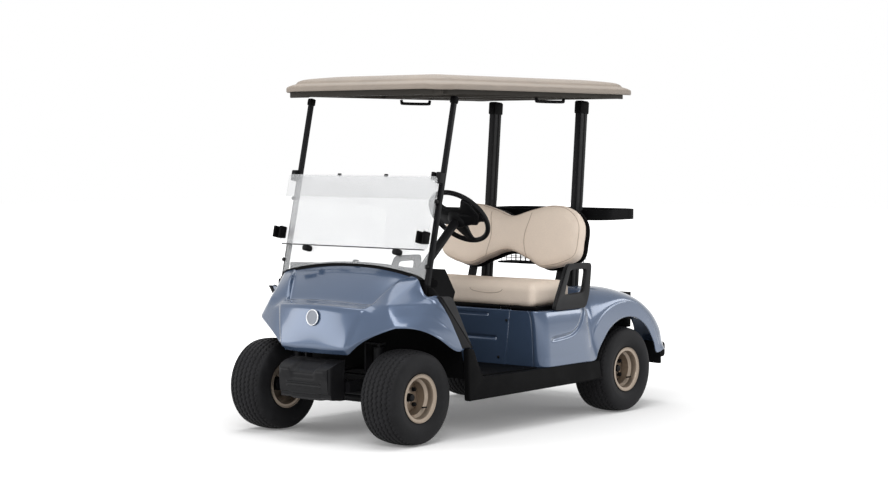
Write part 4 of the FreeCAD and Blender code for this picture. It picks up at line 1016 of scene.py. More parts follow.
@dataclass
class Cowl:
    """Front cowl with its fenders, a black sheet of painted shade inside it, badge and seal.

    Each column holds nine points, from the lip or wheel arch up to the rear edge under the windshield. The
    first column is the middle of the nose and the last one the fender's rear edge.
    """

    columns: Sequence[Sequence[Point]] = (
        ((0.0, -1.102, 0.424), (0.0, -1.120, 0.452), (0.0, -1.115, 0.555),
         (0.0, -1.094, 0.657), (0.0, -1.040, 0.668), (0.0, -0.990, 0.672),
         (0.0, -0.920, 0.745), (0.0, -0.855, 0.806), (0.0, -0.802, 0.838)),
        ((0.125, -1.098, 0.424), (0.125, -1.120, 0.452), (0.130, -1.110, 0.552),
         (0.138, -1.086, 0.653), (0.140, -1.036, 0.664), (0.142, -0.988, 0.668),
         (0.165, -0.922, 0.742), (0.185, -0.858, 0.802), (0.200, -0.807, 0.831)),
        ((0.205, -1.085, 0.425), (0.206, -1.118, 0.453), (0.234, -1.095, 0.549),
         (0.264, -1.062, 0.646), (0.266, -1.021, 0.657), (0.269, -0.982, 0.664),
         (0.309, -0.930, 0.722), (0.349, -0.866, 0.775), (0.385, -0.820, 0.803)),
        ((0.214, -1.083, 0.431), (0.222, -1.108, 0.458), (0.252, -1.083, 0.549),
         (0.282, -1.052, 0.640), (0.285, -1.015, 0.662), (0.288, -0.982, 0.679),
         (0.325, -0.940, 0.735), (0.362, -0.877, 0.786), (0.395, -0.823, 0.803)),
        ((0.300, -1.078, 0.505), (0.304, -1.083, 0.517), (0.312, -1.068, 0.560),
         (0.330, -1.046, 0.612), (0.333, -1.026, 0.645), (0.338, -1.000, 0.675),
         (0.362, -0.950, 0.720), (0.392, -0.888, 0.768), (0.415, -0.829, 0.798)),
        ((0.440, -1.015, 0.562), (0.440, -1.016, 0.573), (0.430, -1.013, 0.595),
         (0.416, -1.012, 0.618), (0.400, -1.010, 0.645), (0.390, -1.003, 0.668),
         (0.403, -0.950, 0.708), (0.425, -0.884, 0.757), (0.438, -0.838, 0.791)),
        ((0.476, -0.985, 0.564), (0.478, -0.984, 0.575), (0.479, -0.965, 0.598),
         (0.482, -0.941, 0.625), (0.488, -0.912, 0.650), (0.494, -0.889, 0.676),
         (0.478, -0.877, 0.706), (0.456, -0.868, 0.738), (0.448, -0.845, 0.783)),
        ((0.515, -0.943, 0.558), (0.515, -0.943, 0.568), (0.511, -0.929, 0.594),
         (0.508, -0.908, 0.626), (0.508, -0.888, 0.651), (0.505, -0.868, 0.677),
         (0.493, -0.855, 0.692), (0.491, -0.853, 0.700), (0.494, -0.856, 0.704)),
        ((0.552, -0.896, 0.540), (0.551, -0.894, 0.550), (0.549, -0.888, 0.582),
         (0.541, -0.875, 0.618), (0.533, -0.862, 0.647), (0.523, -0.850, 0.674),
         (0.512, -0.838, 0.691), (0.507, -0.836, 0.700), (0.506, -0.835, 0.707)),
        ((0.567, -0.810, 0.497), (0.570, -0.812, 0.507), (0.570, -0.810, 0.540),
         (0.568, -0.808, 0.580), (0.566, -0.810, 0.620), (0.563, -0.814, 0.656),
         (0.556, -0.819, 0.684), (0.545, -0.826, 0.700), (0.535, -0.834, 0.710)),
        ((0.568, -0.712, 0.432), (0.571, -0.684, 0.440), (0.572, -0.700, 0.478),
         (0.572, -0.716, 0.518), (0.572, -0.740, 0.565), (0.572, -0.763, 0.608),
         (0.570, -0.785, 0.646), (0.564, -0.808, 0.684), (0.552, -0.829, 0.710)),
        ((0.568, -0.660, 0.437), (0.571, -0.649, 0.446), (0.572, -0.675, 0.487),
         (0.572, -0.700, 0.525), (0.572, -0.729, 0.569), (0.572, -0.757, 0.610),
         (0.570, -0.780, 0.644), (0.564, -0.806, 0.684), (0.552, -0.828, 0.710)),
    )
    folds: Sequence[int] = (2, 3, 5)
    row_folds: Sequence[int] = (1, 3, 5)
    steps: int = 8
    ironed: int = 30
    wall: float = 0.004
    # Depth and wall of the black sheet that paints the shade inside the cowl and its wheel arches.
    shade_liner_in: float = 0.009
    shade_liner_wall: float = 0.002
    badge: Place = Place((0.0, -1.1100, 0.597), 7.0)
    badge_radius: float = 0.040
    ring_shares: Outline = (
        (0.0, 0.97), (0.075, 1.0), (0.1375, 0.97), (0.1625, 0.92), (0.1375, 0.87), (0.0, 0.85))
    disc_shares: Outline = ((0.0, 0.86), (0.075, 0.86), (0.09, 0.5), (0.1, 0.02))
    seal_half: float = 0.450
    seal_size: tuple[float, float] = (0.014, 0.008)
    catch_spot: Point = (0.0, -0.800, 0.849)
    catch_size: Point = (0.030, 0.020, 0.028)

    def grid(self) -> Array:
        """Rows by columns of surface points over both sides, the right half being the left one mirrored.

        Each panel between folds is smoothed by itself with its border held, which keeps the folds crisp.

        Returns:
            The points of the painted skin.
        """
        half = np.asarray(self.columns, float)
        whole = np.concatenate([mirrored(half[:0:-1]), half]).swapaxes(0, 1)
        middle = len(self.columns) - 1
        folds = sorted(middle + sign * fold for fold in self.folds for sign in (-1, 1))
        fine = patch(whole, self.steps, self.steps, self.row_folds, folds)
        rows = [self.steps * at for at in (0, *self.row_folds, whole.shape[0] - 1)]
        lanes = [self.steps * at for at in (0, *folds, whole.shape[1] - 1)]
        for low, high in zip(rows, rows[1:]):
            for left, right in zip(lanes, lanes[1:]):
                panel = (slice(low, high + 1), slice(left, right + 1))
                fine[panel] = softened(fine[panel], self.ironed)
        return softened(fine, 2)

    def skin(self) -> bpy.types.Object:
        """Painted skin over the splined grid."""
        return Form().sheet(self.grid(), (0, -1, 1)).piece(
            "front_cowl_skin", Slot.BODY_BLUE, "root", ["front_cowl"], wall=self.wall, sharp=60.0)

    def liner(self) -> bpy.types.Object:
        """Black sheet of painted shade inside the cowl: the skin moved in along its normals, which closes the
        wheel arches.

        Returns:
            The piece.
        """
        grid = self.grid()
        normal = unit(np.cross(np.gradient(grid, axis=1), np.gradient(grid, axis=0)))
        normal *= np.sign((normal * np.array([0.0, -1.0, 0.6])).sum())
        return Form().sheet(grid - normal * self.shade_liner_in, (0, -1, 1)).piece(
            "front_cowl_shade_liner", Slot.CHASSIS_BLACK, wall=self.shade_liner_wall)

    def medal(self) -> None:
        """Plain round badge: a raised ring round a flat disc, both turned about the fore and aft axis."""
        for name, slot, shares in (("badge_ring", Slot.BARE_STEEL, self.ring_shares),
                                   ("badge_disc", Slot.CAST_METAL, self.disc_shares)):
            profile = np.asarray(shares) * [-self.badge_radius, self.badge_radius]
            rings = np.swapaxes(turned_rings(profile, (0, 0, 0), 64), 0, 1)[..., [1, 0, 2]]
            Form().skin(self.badge.put(rings)).piece(name, slot, sharp=60.0)

    def seal(self) -> bpy.types.Object:
        """Black seal carried along the rear edge, and the small catch at its middle.

        Returns:
            The piece.
        """
        edge = self.grid()[-1]
        path = resampled(edge[np.abs(edge[:, 0]) < self.seal_half], 80) + [0, 0.004, 0.003]
        form = Form().skin(tube_rings(path, rounded_square(*self.seal_size, 0.003)))
        form.skin(box_rings(self.catch_spot, self.catch_size, 0.005))
        return form.piece("cowl_seal", Slot.SOFT_BLACK)

    def build(self) -> None:
        """Makes the cowl's pieces."""
        self.skin()
        self.liner()
        self.medal()
        self.seal()


@dataclass
class FrontBumper:
    """Moulded bumper under the cowl, as depths behind the nose over a plan with rounded corners."""

    nose: float = -1.190
    half: float = 0.168
    flat_half: float = 0.140
    side_depth: float = 0.128
    section: Outline = (
        (0.128, 0.398), (0.080, 0.388), (0.036, 0.372), (0.008, 0.356), (0.001, 0.344), (0.004, 0.328),
        (0.010, 0.306), (0.012, 0.282), (0.014, 0.258), (0.017, 0.243), (0.028, 0.236), (0.031, 0.222),
        (0.040, 0.210), (0.128, 0.208))
    section_fold: int = 10
    dip: float = 0.016
    dip_back: float = 0.008
    dip_half: float = 0.072
    dip_heights: Sequence[float] = (0.300, 0.330, 0.370, 0.400)
    rib_heights: Sequence[float] = (0.287, 0.268)
    rib_rise: float = 0.0045
    rib_half: float = 0.0032
    rib_ends: Sequence[float] = (0.108, 0.114)
    lip_drop: float = 0.006
    lip_ends: Sequence[float] = (0.085, 0.105)
    lip_heights: Sequence[float] = (0.236, 0.246)
    wall: float = 0.004

    def plan(self) -> Array:
        """Front edge seen from above, as (across, depth) pairs: a straight front between two eased corners.

        Returns:
            The pairs from the right side to the left one.
        """
        corner = spline([(-self.half, self.side_depth), (-self.half, 0.045), (-0.160, 0.018),
                         (-self.flat_half, 0.004), (0.0, 0.0)], 10)[:30]
        across = np.linspace(-self.flat_half, self.flat_half, 60)
        straight = np.stack([across, 0 * across], axis=1)
        return np.concatenate([corner, straight, corner[::-1] * [-1, 1]])

    def build(self) -> bpy.types.Object:
        """Front face with a dipped ridge, two ribs and a stepped lip.

        Each point's depth is the greater of the section's and the plan's, which rounds the corners and
        closes the sides. Smooth steps across and up say where the dip, the ribs and the lip lie.

        Returns:
            The piece.
        """
        plan = self.plan()
        rows = spline(self.section, 7, (self.section_fold,))
        x, edge = plan[None, :, 0], plan[None, :, 1]
        depth, z = rows[:, None, 0], rows[:, None, 1]
        away = np.abs(x)
        start, full, fade, end = self.dip_heights
        dipped = (1 - smoothstep(self.dip_half - 0.012, self.dip_half + 0.020, away)) \
            * smoothstep(start, full, z) * (1 - smoothstep(fade, end, z))
        rib = sum(np.exp(-((z - at) / self.rib_half) ** 4) for at in self.rib_heights)
        rib = rib * (1 - smoothstep(*self.rib_ends, away))
        depth = np.maximum(depth, edge) - self.rib_rise * rib + self.dip_back * dipped
        lip = (1 - smoothstep(*self.lip_ends, away)) * (1 - smoothstep(*self.lip_heights, z))
        height = z - self.dip * dipped - self.lip_drop * lip
        grid = np.stack([x + 0 * z, self.nose + depth, height + 0 * x], axis=-1)
        return Form().sheet(grid, (0, -1, 0)).piece(
            "front_bumper_skin", Slot.TRIM_GREY, "root", ["front_bumper"], wall=self.wall)


@dataclass
class Dash:
    """Dash top cap that follows the cowl's rear edge."""

    edge: Outline = (
        (-0.452, -0.824, 0.778), (-0.385, -0.812, 0.803), (-0.290, -0.804, 0.822), (-0.200, -0.799, 0.832),
        (-0.100, -0.795, 0.837), (0.0, -0.794, 0.839), (0.100, -0.795, 0.837), (0.200, -0.799, 0.832),
        (0.290, -0.804, 0.822), (0.385, -0.812, 0.803), (0.452, -0.824, 0.778))
    section: Outline = (
        (0.020, -0.030), (0.020, 0.000), (0.006, 0.010), (-0.030, 0.012), (-0.085, 0.004), (-0.100, -0.012),
        (-0.100, -0.040))
    ease: float = 0.008

    def build(self) -> bpy.types.Object:
        """Cap: a low rounded section carried along the cowl's rear edge."""
        path = resampled(spline(self.edge, 8), 90)
        return Form().skin(tube_rings(path, rounded_corners(self.section, self.ease, 4))).piece(
            "dash_cap", Slot.TEXTURED_BLACK)


# Rear body


@dataclass
class RearBody:
    """Rear body: sides with flared wheel arches, front panel and deck.

    Stations run from the front corner to the tail. Each has a low point on the skirt or arch, the outer
    line of the flare, and a high point on the seat line or the fender's crest, all as (y, z) pairs.
    """

    low: Outline = (
        (0.029, 0.300), (0.115, 0.300), (0.220, 0.300), (0.330, 0.300), (0.425, 0.300), (0.441, 0.345),
        (0.474, 0.388), (0.550, 0.462), (0.655, 0.506), (0.775, 0.504), (0.885, 0.451), (0.958, 0.363),
        (0.985, 0.300), (1.030, 0.300))
    flare: Outline = (
        (0.025, 0.345), (0.110, 0.345), (0.206, 0.350), (0.305, 0.360), (0.385, 0.375), (0.395, 0.430),
        (0.420, 0.480), (0.510, 0.552), (0.650, 0.594), (0.800, 0.572), (0.920, 0.488), (0.988, 0.385),
        (1.015, 0.330), (1.056, 0.310))
    high: Outline = (
        (0.003, 0.585), (0.095, 0.584), (0.180, 0.583), (0.270, 0.585), (0.335, 0.590), (0.350, 0.640),
        (0.395, 0.681), (0.530, 0.681), (0.673, 0.662), (0.838, 0.616), (0.990, 0.543), (1.088, 0.455),
        (1.118, 0.365), (1.124, 0.300))
    crest_x: Sequence[float] = (
        0.572, 0.574, 0.574, 0.572, 0.560, 0.500, 0.470, 0.465, 0.465, 0.465, 0.468, 0.475, 0.48, 0.485)
    steps: int = 12
    skirt_rows: int = 14
    arch_rows: int = 55
    side_x: float = 0.588
    inner_x: float = 0.360
    arch_out: float = 0.002
    bulge: float = 0.004
    arch_stations: Sequence[float] = (4.4, 5.6)
    valley_station: float = 4.15
    valley_half: float = 0.5
    valley_deep: float = 0.006
    valley_heights: Sequence[float] = (0.50, 0.56)
    swoop: Outline = (
        (-0.100, 0.438), (0.000, 0.438), (0.080, 0.443), (0.160, 0.450), (0.220, 0.462), (0.268, 0.492),
        (0.302, 0.540), (0.326, 0.600))
    groove_half: float = 0.014
    groove_core: float = 0.0021
    groove_deep: float = 0.007
    corner: float = 0.065
    wall: float = 0.004
    seat_z: float = 0.583
    foot_z: float = 0.300
    panel_top: float = 0.585
    panel_lean_share: float = 0.0917
    panel_bow: float = 0.006
    ledge_z: float = 0.558
    ledge_half: float = 0.010
    ledge_deep: float = 0.005
    ledge_ends: Sequence[float] = (0.240, 0.256)
    pull_z: float = 0.438
    pull_ends: Sequence[float] = (0.282, 0.300)
    joint_x: float = 0.3635
    joint_z: float = 0.44
    joint_lean_share: float = 0.167
    joint_half: float = 0.0036
    joint_deep: float = 0.003
    screw_spots: Outline = ((0.368, 0.532), (0.043, 0.511), (0.302, 0.338))
    screw_radius: float = 0.0075

    def side_grid(self) -> Array:
        """Surface of the left side.

        From the low line to the flare line the side stands upright. Above it, a quarter ellipse leads in to
        the crest: height goes with the sine and width with the cosine of the same angle. A valley lies in
        front of the arch, and a swoop groove is pressed in by a smooth step of the distance from its line.

        Returns:
            Rows by stations of points.
        """
        low, flare, high = (softened(spline(line, self.steps), 3, (0,))
                            for line in (self.low, self.flare, self.high))
        crest = (spline_weights(len(self.crest_x), self.steps) @ np.asarray(self.crest_x))[None]
        up = np.linspace(0, 1, self.skirt_rows)[:, None]
        angle = np.linspace(0, np.pi / 2, self.arch_rows + 1)[1:, None]
        skirt = low[None] + (flare - low)[None] * up[..., None]
        upper = flare[None] + (high - flare)[None] * np.sin(angle)[..., None]
        flat = np.concatenate([skirt, upper])
        station = np.arange(len(low))[None] / self.steps
        arch = smoothstep(*self.arch_stations, station)
        x_skirt = self.side_x + self.arch_out * arch + 0 * up
        x_upper = crest + (self.side_x - crest) * np.cos(angle) + self.bulge * np.sin(angle * 2) * (1 - arch)
        valley = np.exp(-((station - self.valley_station) / self.valley_half) ** 2) \
            * (1 - smoothstep(*self.valley_heights, flat[..., 1]))
        away = distance_to(flat, spline(self.swoop, 10))
        groove = (1 - smoothstep(self.groove_core, self.groove_half, away)) * smoothstep(0.0, 0.5, station)
        x = np.concatenate([x_skirt, x_upper]) - self.valley_deep * valley - self.groove_deep * groove
        return np.concatenate([x[..., None], flat], axis=-1)

    def top_grid(self, side: Array) -> Array:
        """Rows from the crest in to the inner edge and down to the deck.

        Each column keeps its own station, and its height falls by the cube of the way in.

        Args:
            side: grid of the side, whose last row is the crest.

        Returns:
            Rows by stations of points.
        """
        crest = side[-1]
        inner = crest.copy()
        inner[:, 0] = self.inner_x
        inner[:, 2] = np.maximum(np.minimum(crest[:, 2] - 0.006, self.seat_z + 0.075), self.foot_z)
        share = np.linspace(0, 1, 12)[:, None, None]
        drop = crest + (inner - crest) * np.concatenate([share, share, share ** 3], axis=-1)
        foot = inner.copy()
        foot[:, 2] = np.minimum(self.seat_z - 0.004, inner[:, 2])
        return np.concatenate([drop, foot[None]])

    def sides(self) -> bpy.types.Object:
        """Painted sides, left and right, each led round its front corner by a quarter circle.

        Returns:
            The piece.
        """
        turn = np.linspace(0, np.pi / 2, 10)[:-1]
        way = np.stack([np.sin(turn) - 1, -np.cos(turn), 0 * turn], axis=1) * self.corner
        grid = self.side_grid()
        grid = np.concatenate([grid[:, :1] + way[None], grid], axis=1)
        whole = np.concatenate([grid, self.top_grid(grid)[1:]])
        form = Form().sheet(whole, (1, 0, 0.4)).sheet(mirrored(whole), (-1, 0, 0.4))
        return form.piece(
            "rear_body_sides", Slot.BODY_BLUE, "root", ["rear_body"], wall=self.wall, sharp=50.0)

    def front_panel(self) -> bpy.types.Object:
        """Front of the seat base between the rounded corners, with two pressed grooves and panel joints.

        Its depth is the slope of the front, bowed forward by a squared cosine. Each groove and joint moves
        the surface back by a smooth step of the distance from its line. Its ends follow the sides' quarter
        ellipse.

        Returns:
            The piece.
        """
        height = np.linspace(self.foot_z, self.panel_top, 64)[:, None]
        share = np.linspace(-1, 1, 300)[None]
        foot, head = self.flare[0][1], self.high[0][1]
        lift = np.arcsin(np.clip((height - foot) / (head - foot), 0, 1))
        crest = self.crest_x[0]
        end = crest + (self.side_x - crest) * np.cos(lift) + self.bulge * np.sin(2 * lift)
        x = share * (end - self.corner)
        away = np.abs(x)
        slope = self.high[0][0] + (self.panel_top - height) * self.panel_lean_share - self.corner
        bow = self.panel_bow * np.cos(share * np.pi / 2) ** 2
        ledge = (1 - smoothstep(0.004, self.ledge_half, np.abs(height - self.ledge_z))) \
            * (1 - smoothstep(*self.ledge_ends, away))
        pull = (1 - smoothstep(self.groove_core, self.groove_half, np.abs(height - self.pull_z))) \
            * (1 - smoothstep(*self.pull_ends, away))
        joint_line = self.joint_x + (height - self.joint_z) * self.joint_lean_share
        joint = 1 - smoothstep(0.0008, self.joint_half, np.abs(away - joint_line))
        depth = slope - bow + self.ledge_deep * ledge + self.groove_deep * pull + self.joint_deep * joint
        grid = np.stack([x, depth, height + 0 * x], axis=-1)
        return Form().sheet(grid, (0, -1, 0)).piece(
            "seat_base_front", Slot.BODY_BLUE, "root", ["access_panel"], wall=self.wall)

    def deck(self) -> bpy.types.Object:
        """Deck under the seat."""
        return Form().skin(box_rings((0, 0.262, 0.5805), (0.724, 0.560, 0.006), 0.002)).piece(
            "seat_deck", Slot.BODY_BLUE)

    def screws(self) -> bpy.types.Object:
        """Screw heads on the front panel, each a short bar, on both sides.

        Returns:
            The piece.
        """
        form = Form()
        for x, z in self.screw_spots:
            y = -0.067 + (self.panel_top - z) * self.panel_lean_share
            form.both(bar_rings((x, y + 0.004, z), (x, y - 0.003, z), self.screw_radius, 16, 0.002))
        return form.piece("panel_screws", Slot.SOFT_BLACK)

    def build(self) -> None:
        """Makes the rear body's pieces."""
        self.sides()
        self.front_panel()
        self.deck()
        self.screws()


# Seat


@dataclass
class Seat:
    """Bench cushion and bow-tie back, with their seams."""

    padding: Padding = Padding()
    half: float = 0.515
    front: float = -0.026
    rear: float = 0.325
    low: float = 0.593
    top: float = 0.722
    swell: float = 0.006
    cushion_edge: float = 0.036
    back: Place = Place((0.0, 0.382, 0.764), 14.0)
    back_half: float = 0.484
    back_tall: float = 0.374
    back_thick: float = 0.084
    back_in: float = 0.008
    back_edge: float = 0.024
    back_shares: Outline = (
        (0.0, 0.830), (0.24, 0.92), (0.53, 1.0), (0.79, 0.955), (0.965, 0.75), (1.0, 0.46), (0.95, 0.16),
        (0.56, 0.0), (0.29, 0.12), (0.0, 0.24))
    shell_in: float = 0.013
    shell_gap: float = 0.0005
    shell_thick: float = 0.018
    shell_edge: float = 0.008
    seam: float = 0.0020
    rim_seam_in: float = 0.022
    panel_seam_x: float = 0.125
    panel_seam_wave: float = 0.012
    panel_seam_up: tuple[float, float] = (0.045, 0.310)
    # Line of a shallow dip across the cushion's front; darker seam cords along it paint its shade.
    dip: Outline = (
        (0.086, 0.690), (0.097, 0.676), (0.130, 0.668), (0.209, 0.663), (0.268, 0.668), (0.292, 0.677),
        (0.302, 0.690))

    def cushion(self) -> bpy.types.Object:
        """Bench cushion: a rounded block, smaller by the swelling, then padded by simulation.

        Returns:
            The piece.
        """
        wide, long, tall = 2 * self.half, self.rear - self.front, self.top - self.low
        size = (wide - 2 * self.swell, long - 2 * self.swell, tall - 0.010)
        centre = (0.0, (self.front + self.rear) / 2, (self.low + self.top) / 2)
        item = Form().skin(box_rings(centre, size, self.cushion_edge, 6)).piece(
            "bench_cushion", Slot.SEAT_VINYL, "seat_lid", ["seat_cushion"])
        return self.padding.fit(item)

    def back_outline(self, inset: float) -> Array:
        """Closed outline of the back.

        Args:
            inset: distance by which it is set in.

        Returns:
            (across, up) pairs.
        """
        size = [self.back_half - inset, self.back_tall - 2 * inset]
        right = np.asarray(self.back_shares) * size + [0, inset]
        return spline(np.concatenate([right, right[-2:0:-1] * [-1, 1]]), 8, closed=True)

    def backrest(self) -> bpy.types.Object:
        """Back cushion: a thick plate with a rounding at its face, padded by simulation.

        Returns:
            The piece.
        """
        outline = self.back_outline(self.back_in)
        rings = plate_rings(outline, 0.006, self.back_thick - 0.002, self.back_edge, 7)
        item = Form().skin(self.back.put(rings)).piece("backrest", Slot.SEAT_VINYL, "root", ["seat_back"])
        return self.padding.fit(item)

    def shell(self) -> bpy.types.Object:
        """Black shell behind the back."""
        near, far = self.back_thick + self.shell_gap, self.back_thick + self.shell_thick
        rings = self.back.put(plate_rings(self.back_outline(self.shell_in), near, far, self.shell_edge))
        return Form().skin(rings).piece("backrest_shell", Slot.TEXTURED_BLACK, "root", ["seat_back_shell"])

    def stitched(self, item: bpy.types.Object, name: str, lines: Sequence[tuple[Array, bool]],
                 body: str) -> bpy.types.Object:
        """Seams laid on a padded piece.

        Each line is pulled to the nearest place on the surface and becomes a thin cord half sunk in it, in
        the seat vinyl darkened as painted shade.

        Args:
            item: the padded piece.
            name: name of the seams' piece.
            lines: paths near the surface, each with a mark for a closed one.
            body: body that the seams move with.

        Returns:
            The seams' piece.
        """
        form = Form()
        for path, closed in lines:
            spots = [item.closest_point_on_mesh(Vector(spot))[1] for spot in path.tolist()]
            laid = softened(np.array([tuple(spot) for spot in spots]), 2, (0,))
            form.skin(tube_rings(laid, circle(self.seam, 8), (0.0, 1.0, 0.2), closed), loop=closed)
        return form.piece(name, Slot.SEAT_SEAM_SHADE, body)

    def back_seams(self) -> list[tuple[Array, bool]]:
        """Seams of the back: two upright ones that wave by a cosine, and the line where the boxing begins.

        Returns:
            Paths, each with a mark for a closed one.
        """
        start, end = self.panel_seam_up
        up = np.linspace(start, end, 40)
        wave = self.panel_seam_x + self.panel_seam_wave * np.cos((up - start) / (end - start) * 2 * np.pi)
        panel = self.back.put(np.stack([wave, 0 * up, up], axis=1))
        rim = self.back_outline(self.rim_seam_in)
        around = self.back.put(np.stack([rim[:, 0], 0 * rim[:, 0] + 0.008, rim[:, 1]], axis=1))
        return [(mirrored(panel), False), (panel, False), (around, True)]

    def cushion_seams(self) -> list[tuple[Array, bool]]:
        """The dip is not shaped: cords along its line on the cushion's front at each place paint its shade in
        darker vinyl.

        Returns:
            Paths, each with a mark for a closed one.
        """
        dip = spline(self.dip, 6)
        line = np.stack([dip[:, 0], 0 * dip[:, 0] + self.front - 0.01, dip[:, 1]], axis=1)
        return [(line, False), (mirrored(line), False)]

    def build(self) -> None:
        """Makes the seat's pieces."""
        self.stitched(self.cushion(), "cushion_seams", self.cushion_seams(), "seat_lid")
        self.stitched(self.backrest(), "backrest_seams", self.back_seams(), "root")
        self.shell()


@dataclass
class HipRestraints:
    """Loop at each side of the seat, a plate with a hole and rounded rims."""

    outer: Outline = ((0.053, 0.585), (0.168, 0.817), (0.374, 0.817), (0.356, 0.662), (0.324, 0.585))
    outer_radius: float = 0.028
    hole: Outline = ((0.138, 0.660), (0.190, 0.786), (0.328, 0.786), (0.303, 0.668))
    hole_radius: float = 0.020
    outer_x: float = 0.592
    thick: float = 0.024
    edge: float = 0.007

    def build(self) -> bpy.types.Object:
        """Loops between matching outlines of the plate and its hole.

        Both outlines are sampled at equal shares of their length from the same corner. Each ring goes from
        the hole to the outside over one face and back over the other. The hole's edge is a quarter circle:
        it moves out by edge (1 - cosine) while its depth is less by edge (1 - sine). Behind the outer edge
        a small step is left.

        Returns:
            The piece.
        """
        outer = self.walk(rounded_corners(self.outer, self.outer_radius, 6))
        hole = self.walk(rounded_corners(self.hole, self.hole_radius, 6))
        way = unit(outer - hole)
        ease = np.linspace(0, np.pi / 2, 4)
        early, late = self.edge * (1 - np.sin(ease)), self.edge * (1 - np.cos(ease))
        flat = self.thick / 2
        near, far = ([line + sign * way * inset for inset in late] for line, sign in ((hole, 1), (outer, -1)))
        lane = [hole, *near, *far, outer]
        level = [0.0, *(flat - early), *(flat - late), 0.0]
        rows = [np.concatenate([np.full((len(hole), 1), up), line], axis=1) for line, up in zip(lane, level)]
        rows += [row * [-1, 1, 1] for row in rows[-2:0:-1]]
        rings = np.swapaxes(np.stack(rows), 0, 1) + [self.outer_x - flat, 0, 0]
        return Form().both(rings, loop=True).piece("hip_loops", Slot.TRIM_GREY, "root", ["hip_restraints"])

    def walk(self, outline: Array) -> Array:
        """Closed outline at 96 equal shares of its length."""
        return resampled(np.concatenate([outline, outline[:1]]), 97)[:-1]


# Roof and struts


@dataclass
class Canopy:
    """Moulded roof on its frame, with its grab handles.

    Rings are (inset, lift) pairs from the lip's foot to the middle of the crown.
    """

    half: float = 0.545
    front: float = -0.790
    rear: float = 0.872
    corner: float = 0.110
    least_corner: float = 0.030
    lip_z: float = 1.712
    skin_thick: float = 0.004
    rings: Outline = (
        (0.000, -0.004), (0.000, 0.010), (0.002, 0.016), (0.0065, 0.020), (0.0245, 0.0262), (0.046, 0.031),
        (0.056, 0.0395), (0.0635, 0.044), (0.0927, 0.052), (0.150, 0.0575), (0.218, 0.063), (0.300, 0.0662),
        (0.392, 0.0685), (0.500, 0.0695))
    dip: float = 0.016
    frame_in: float = 0.044
    frame_low: float = 1.680
    frame_high: float = 1.720
    frame_thick: float = 0.004
    rail_spots: Sequence[float] = (-0.607, 0.000, 0.400, 0.700)
    rail_z: float = 1.689
    rail_size: Point = (0.990, 0.050, 0.030)
    corner_plate: Point = (0.440, -0.735, 1.690)
    corner_plate_size: Point = (0.130, 0.014, 0.046)
    handle_x: float = 0.455
    handle: Outline = (
        (0.070, 1.668), (0.076, 1.656), (0.092, 1.650), (0.288, 1.650), (0.304, 1.656), (0.310, 1.668))
    handle_radius: float = 0.008

    def level(self, inset: float, height: float) -> Array:
        """Plan of the roof at a height: four arcs whose radius shrinks by the inset down to the least one.

        The corners are lowered by the fourth power of the product of both shares of the half sizes.

        Args:
            inset: distance by which the plan is set in.
            height: height in the middle of each side.

        Returns:
            Points by three.
        """
        radius = max(self.corner - inset, self.least_corner)
        middle, long = (self.front + self.rear) / 2, (self.rear - self.front) / 2
        angle = np.linspace(0, np.pi / 2, 20)[None] + np.arange(4)[:, None] * np.pi / 2
        sign_x, sign_y = np.array([1, -1, -1, 1])[:, None], np.array([1, 1, -1, -1])[:, None]
        x = (sign_x * (self.half - inset - radius) + radius * np.cos(angle)).ravel()
        y = (sign_y * (long - inset - radius) + radius * np.sin(angle)).ravel()
        corner = np.abs(x / self.half * y / long) ** 4
        return np.stack([x, y + middle, height - self.dip * corner], axis=1)

    def shell(self) -> bpy.types.Object:
        """Roof skin: a closed profile from the crown down to the lip and back along the underside.

        Returns:
            The piece.
        """
        top = spline(self.rings, 4)[::-1]
        under = top[::-1] - [0, self.skin_thick]
        under[:, 0] = np.maximum(under[:, 0], self.skin_thick)
        profile = np.concatenate([top, under])
        rings = np.stack([self.level(inset, self.lip_z + lift) for inset, lift in profile])
        return Form().skin(rings).piece("roof_skin", Slot.ROOF_STONE, "root", ["canopy"], sharp=60.0)

    def rim(self) -> bpy.types.Object:
        """Frame under the roof: an upright band round it, cross rails, and plates at the front corners.

        Returns:
            The piece.
        """
        out, low, high = self.frame_in, self.frame_low, self.frame_high
        band = ((out, high), (out, low), (out + self.frame_thick, low), (out + self.frame_thick, high))
        form = Form().skin(np.stack([self.level(inset, z) for inset, z in band]), loop=True)
        for y in self.rail_spots:
            form.skin(box_rings((0, y, self.rail_z), self.rail_size, 0.006))
        form.both(box_rings(self.corner_plate, self.corner_plate_size, 0.005))
        # The frame's finish is the roof's stone colour darkened as painted shade.
        return form.piece("roof_rim", Slot.ROOF_UNDERSIDE, "root", ["canopy_frame"], sharp=30.0)

    def handles(self) -> bpy.types.Object:
        """Grab handles under the sides, each a round bar along a bent line."""
        line = spline(self.handle, 6)
        path = np.stack([0 * line[:, 0] + self.handle_x, line[:, 0], line[:, 1]], axis=1)
        return Form().both(tube_rings(path, circle(self.handle_radius, 12), (1.0, 0.0, 0.0))).piece(
            "roof_handles", Slot.TEXTURED_BLACK, "root", ["grab_handles"])

    def build(self) -> None:
        """Makes the roof's pieces."""
        self.shell()
        self.rim()
        self.handles()


STRUT_PLANE = Place((0.0, -0.830, 0.696), 12.95)


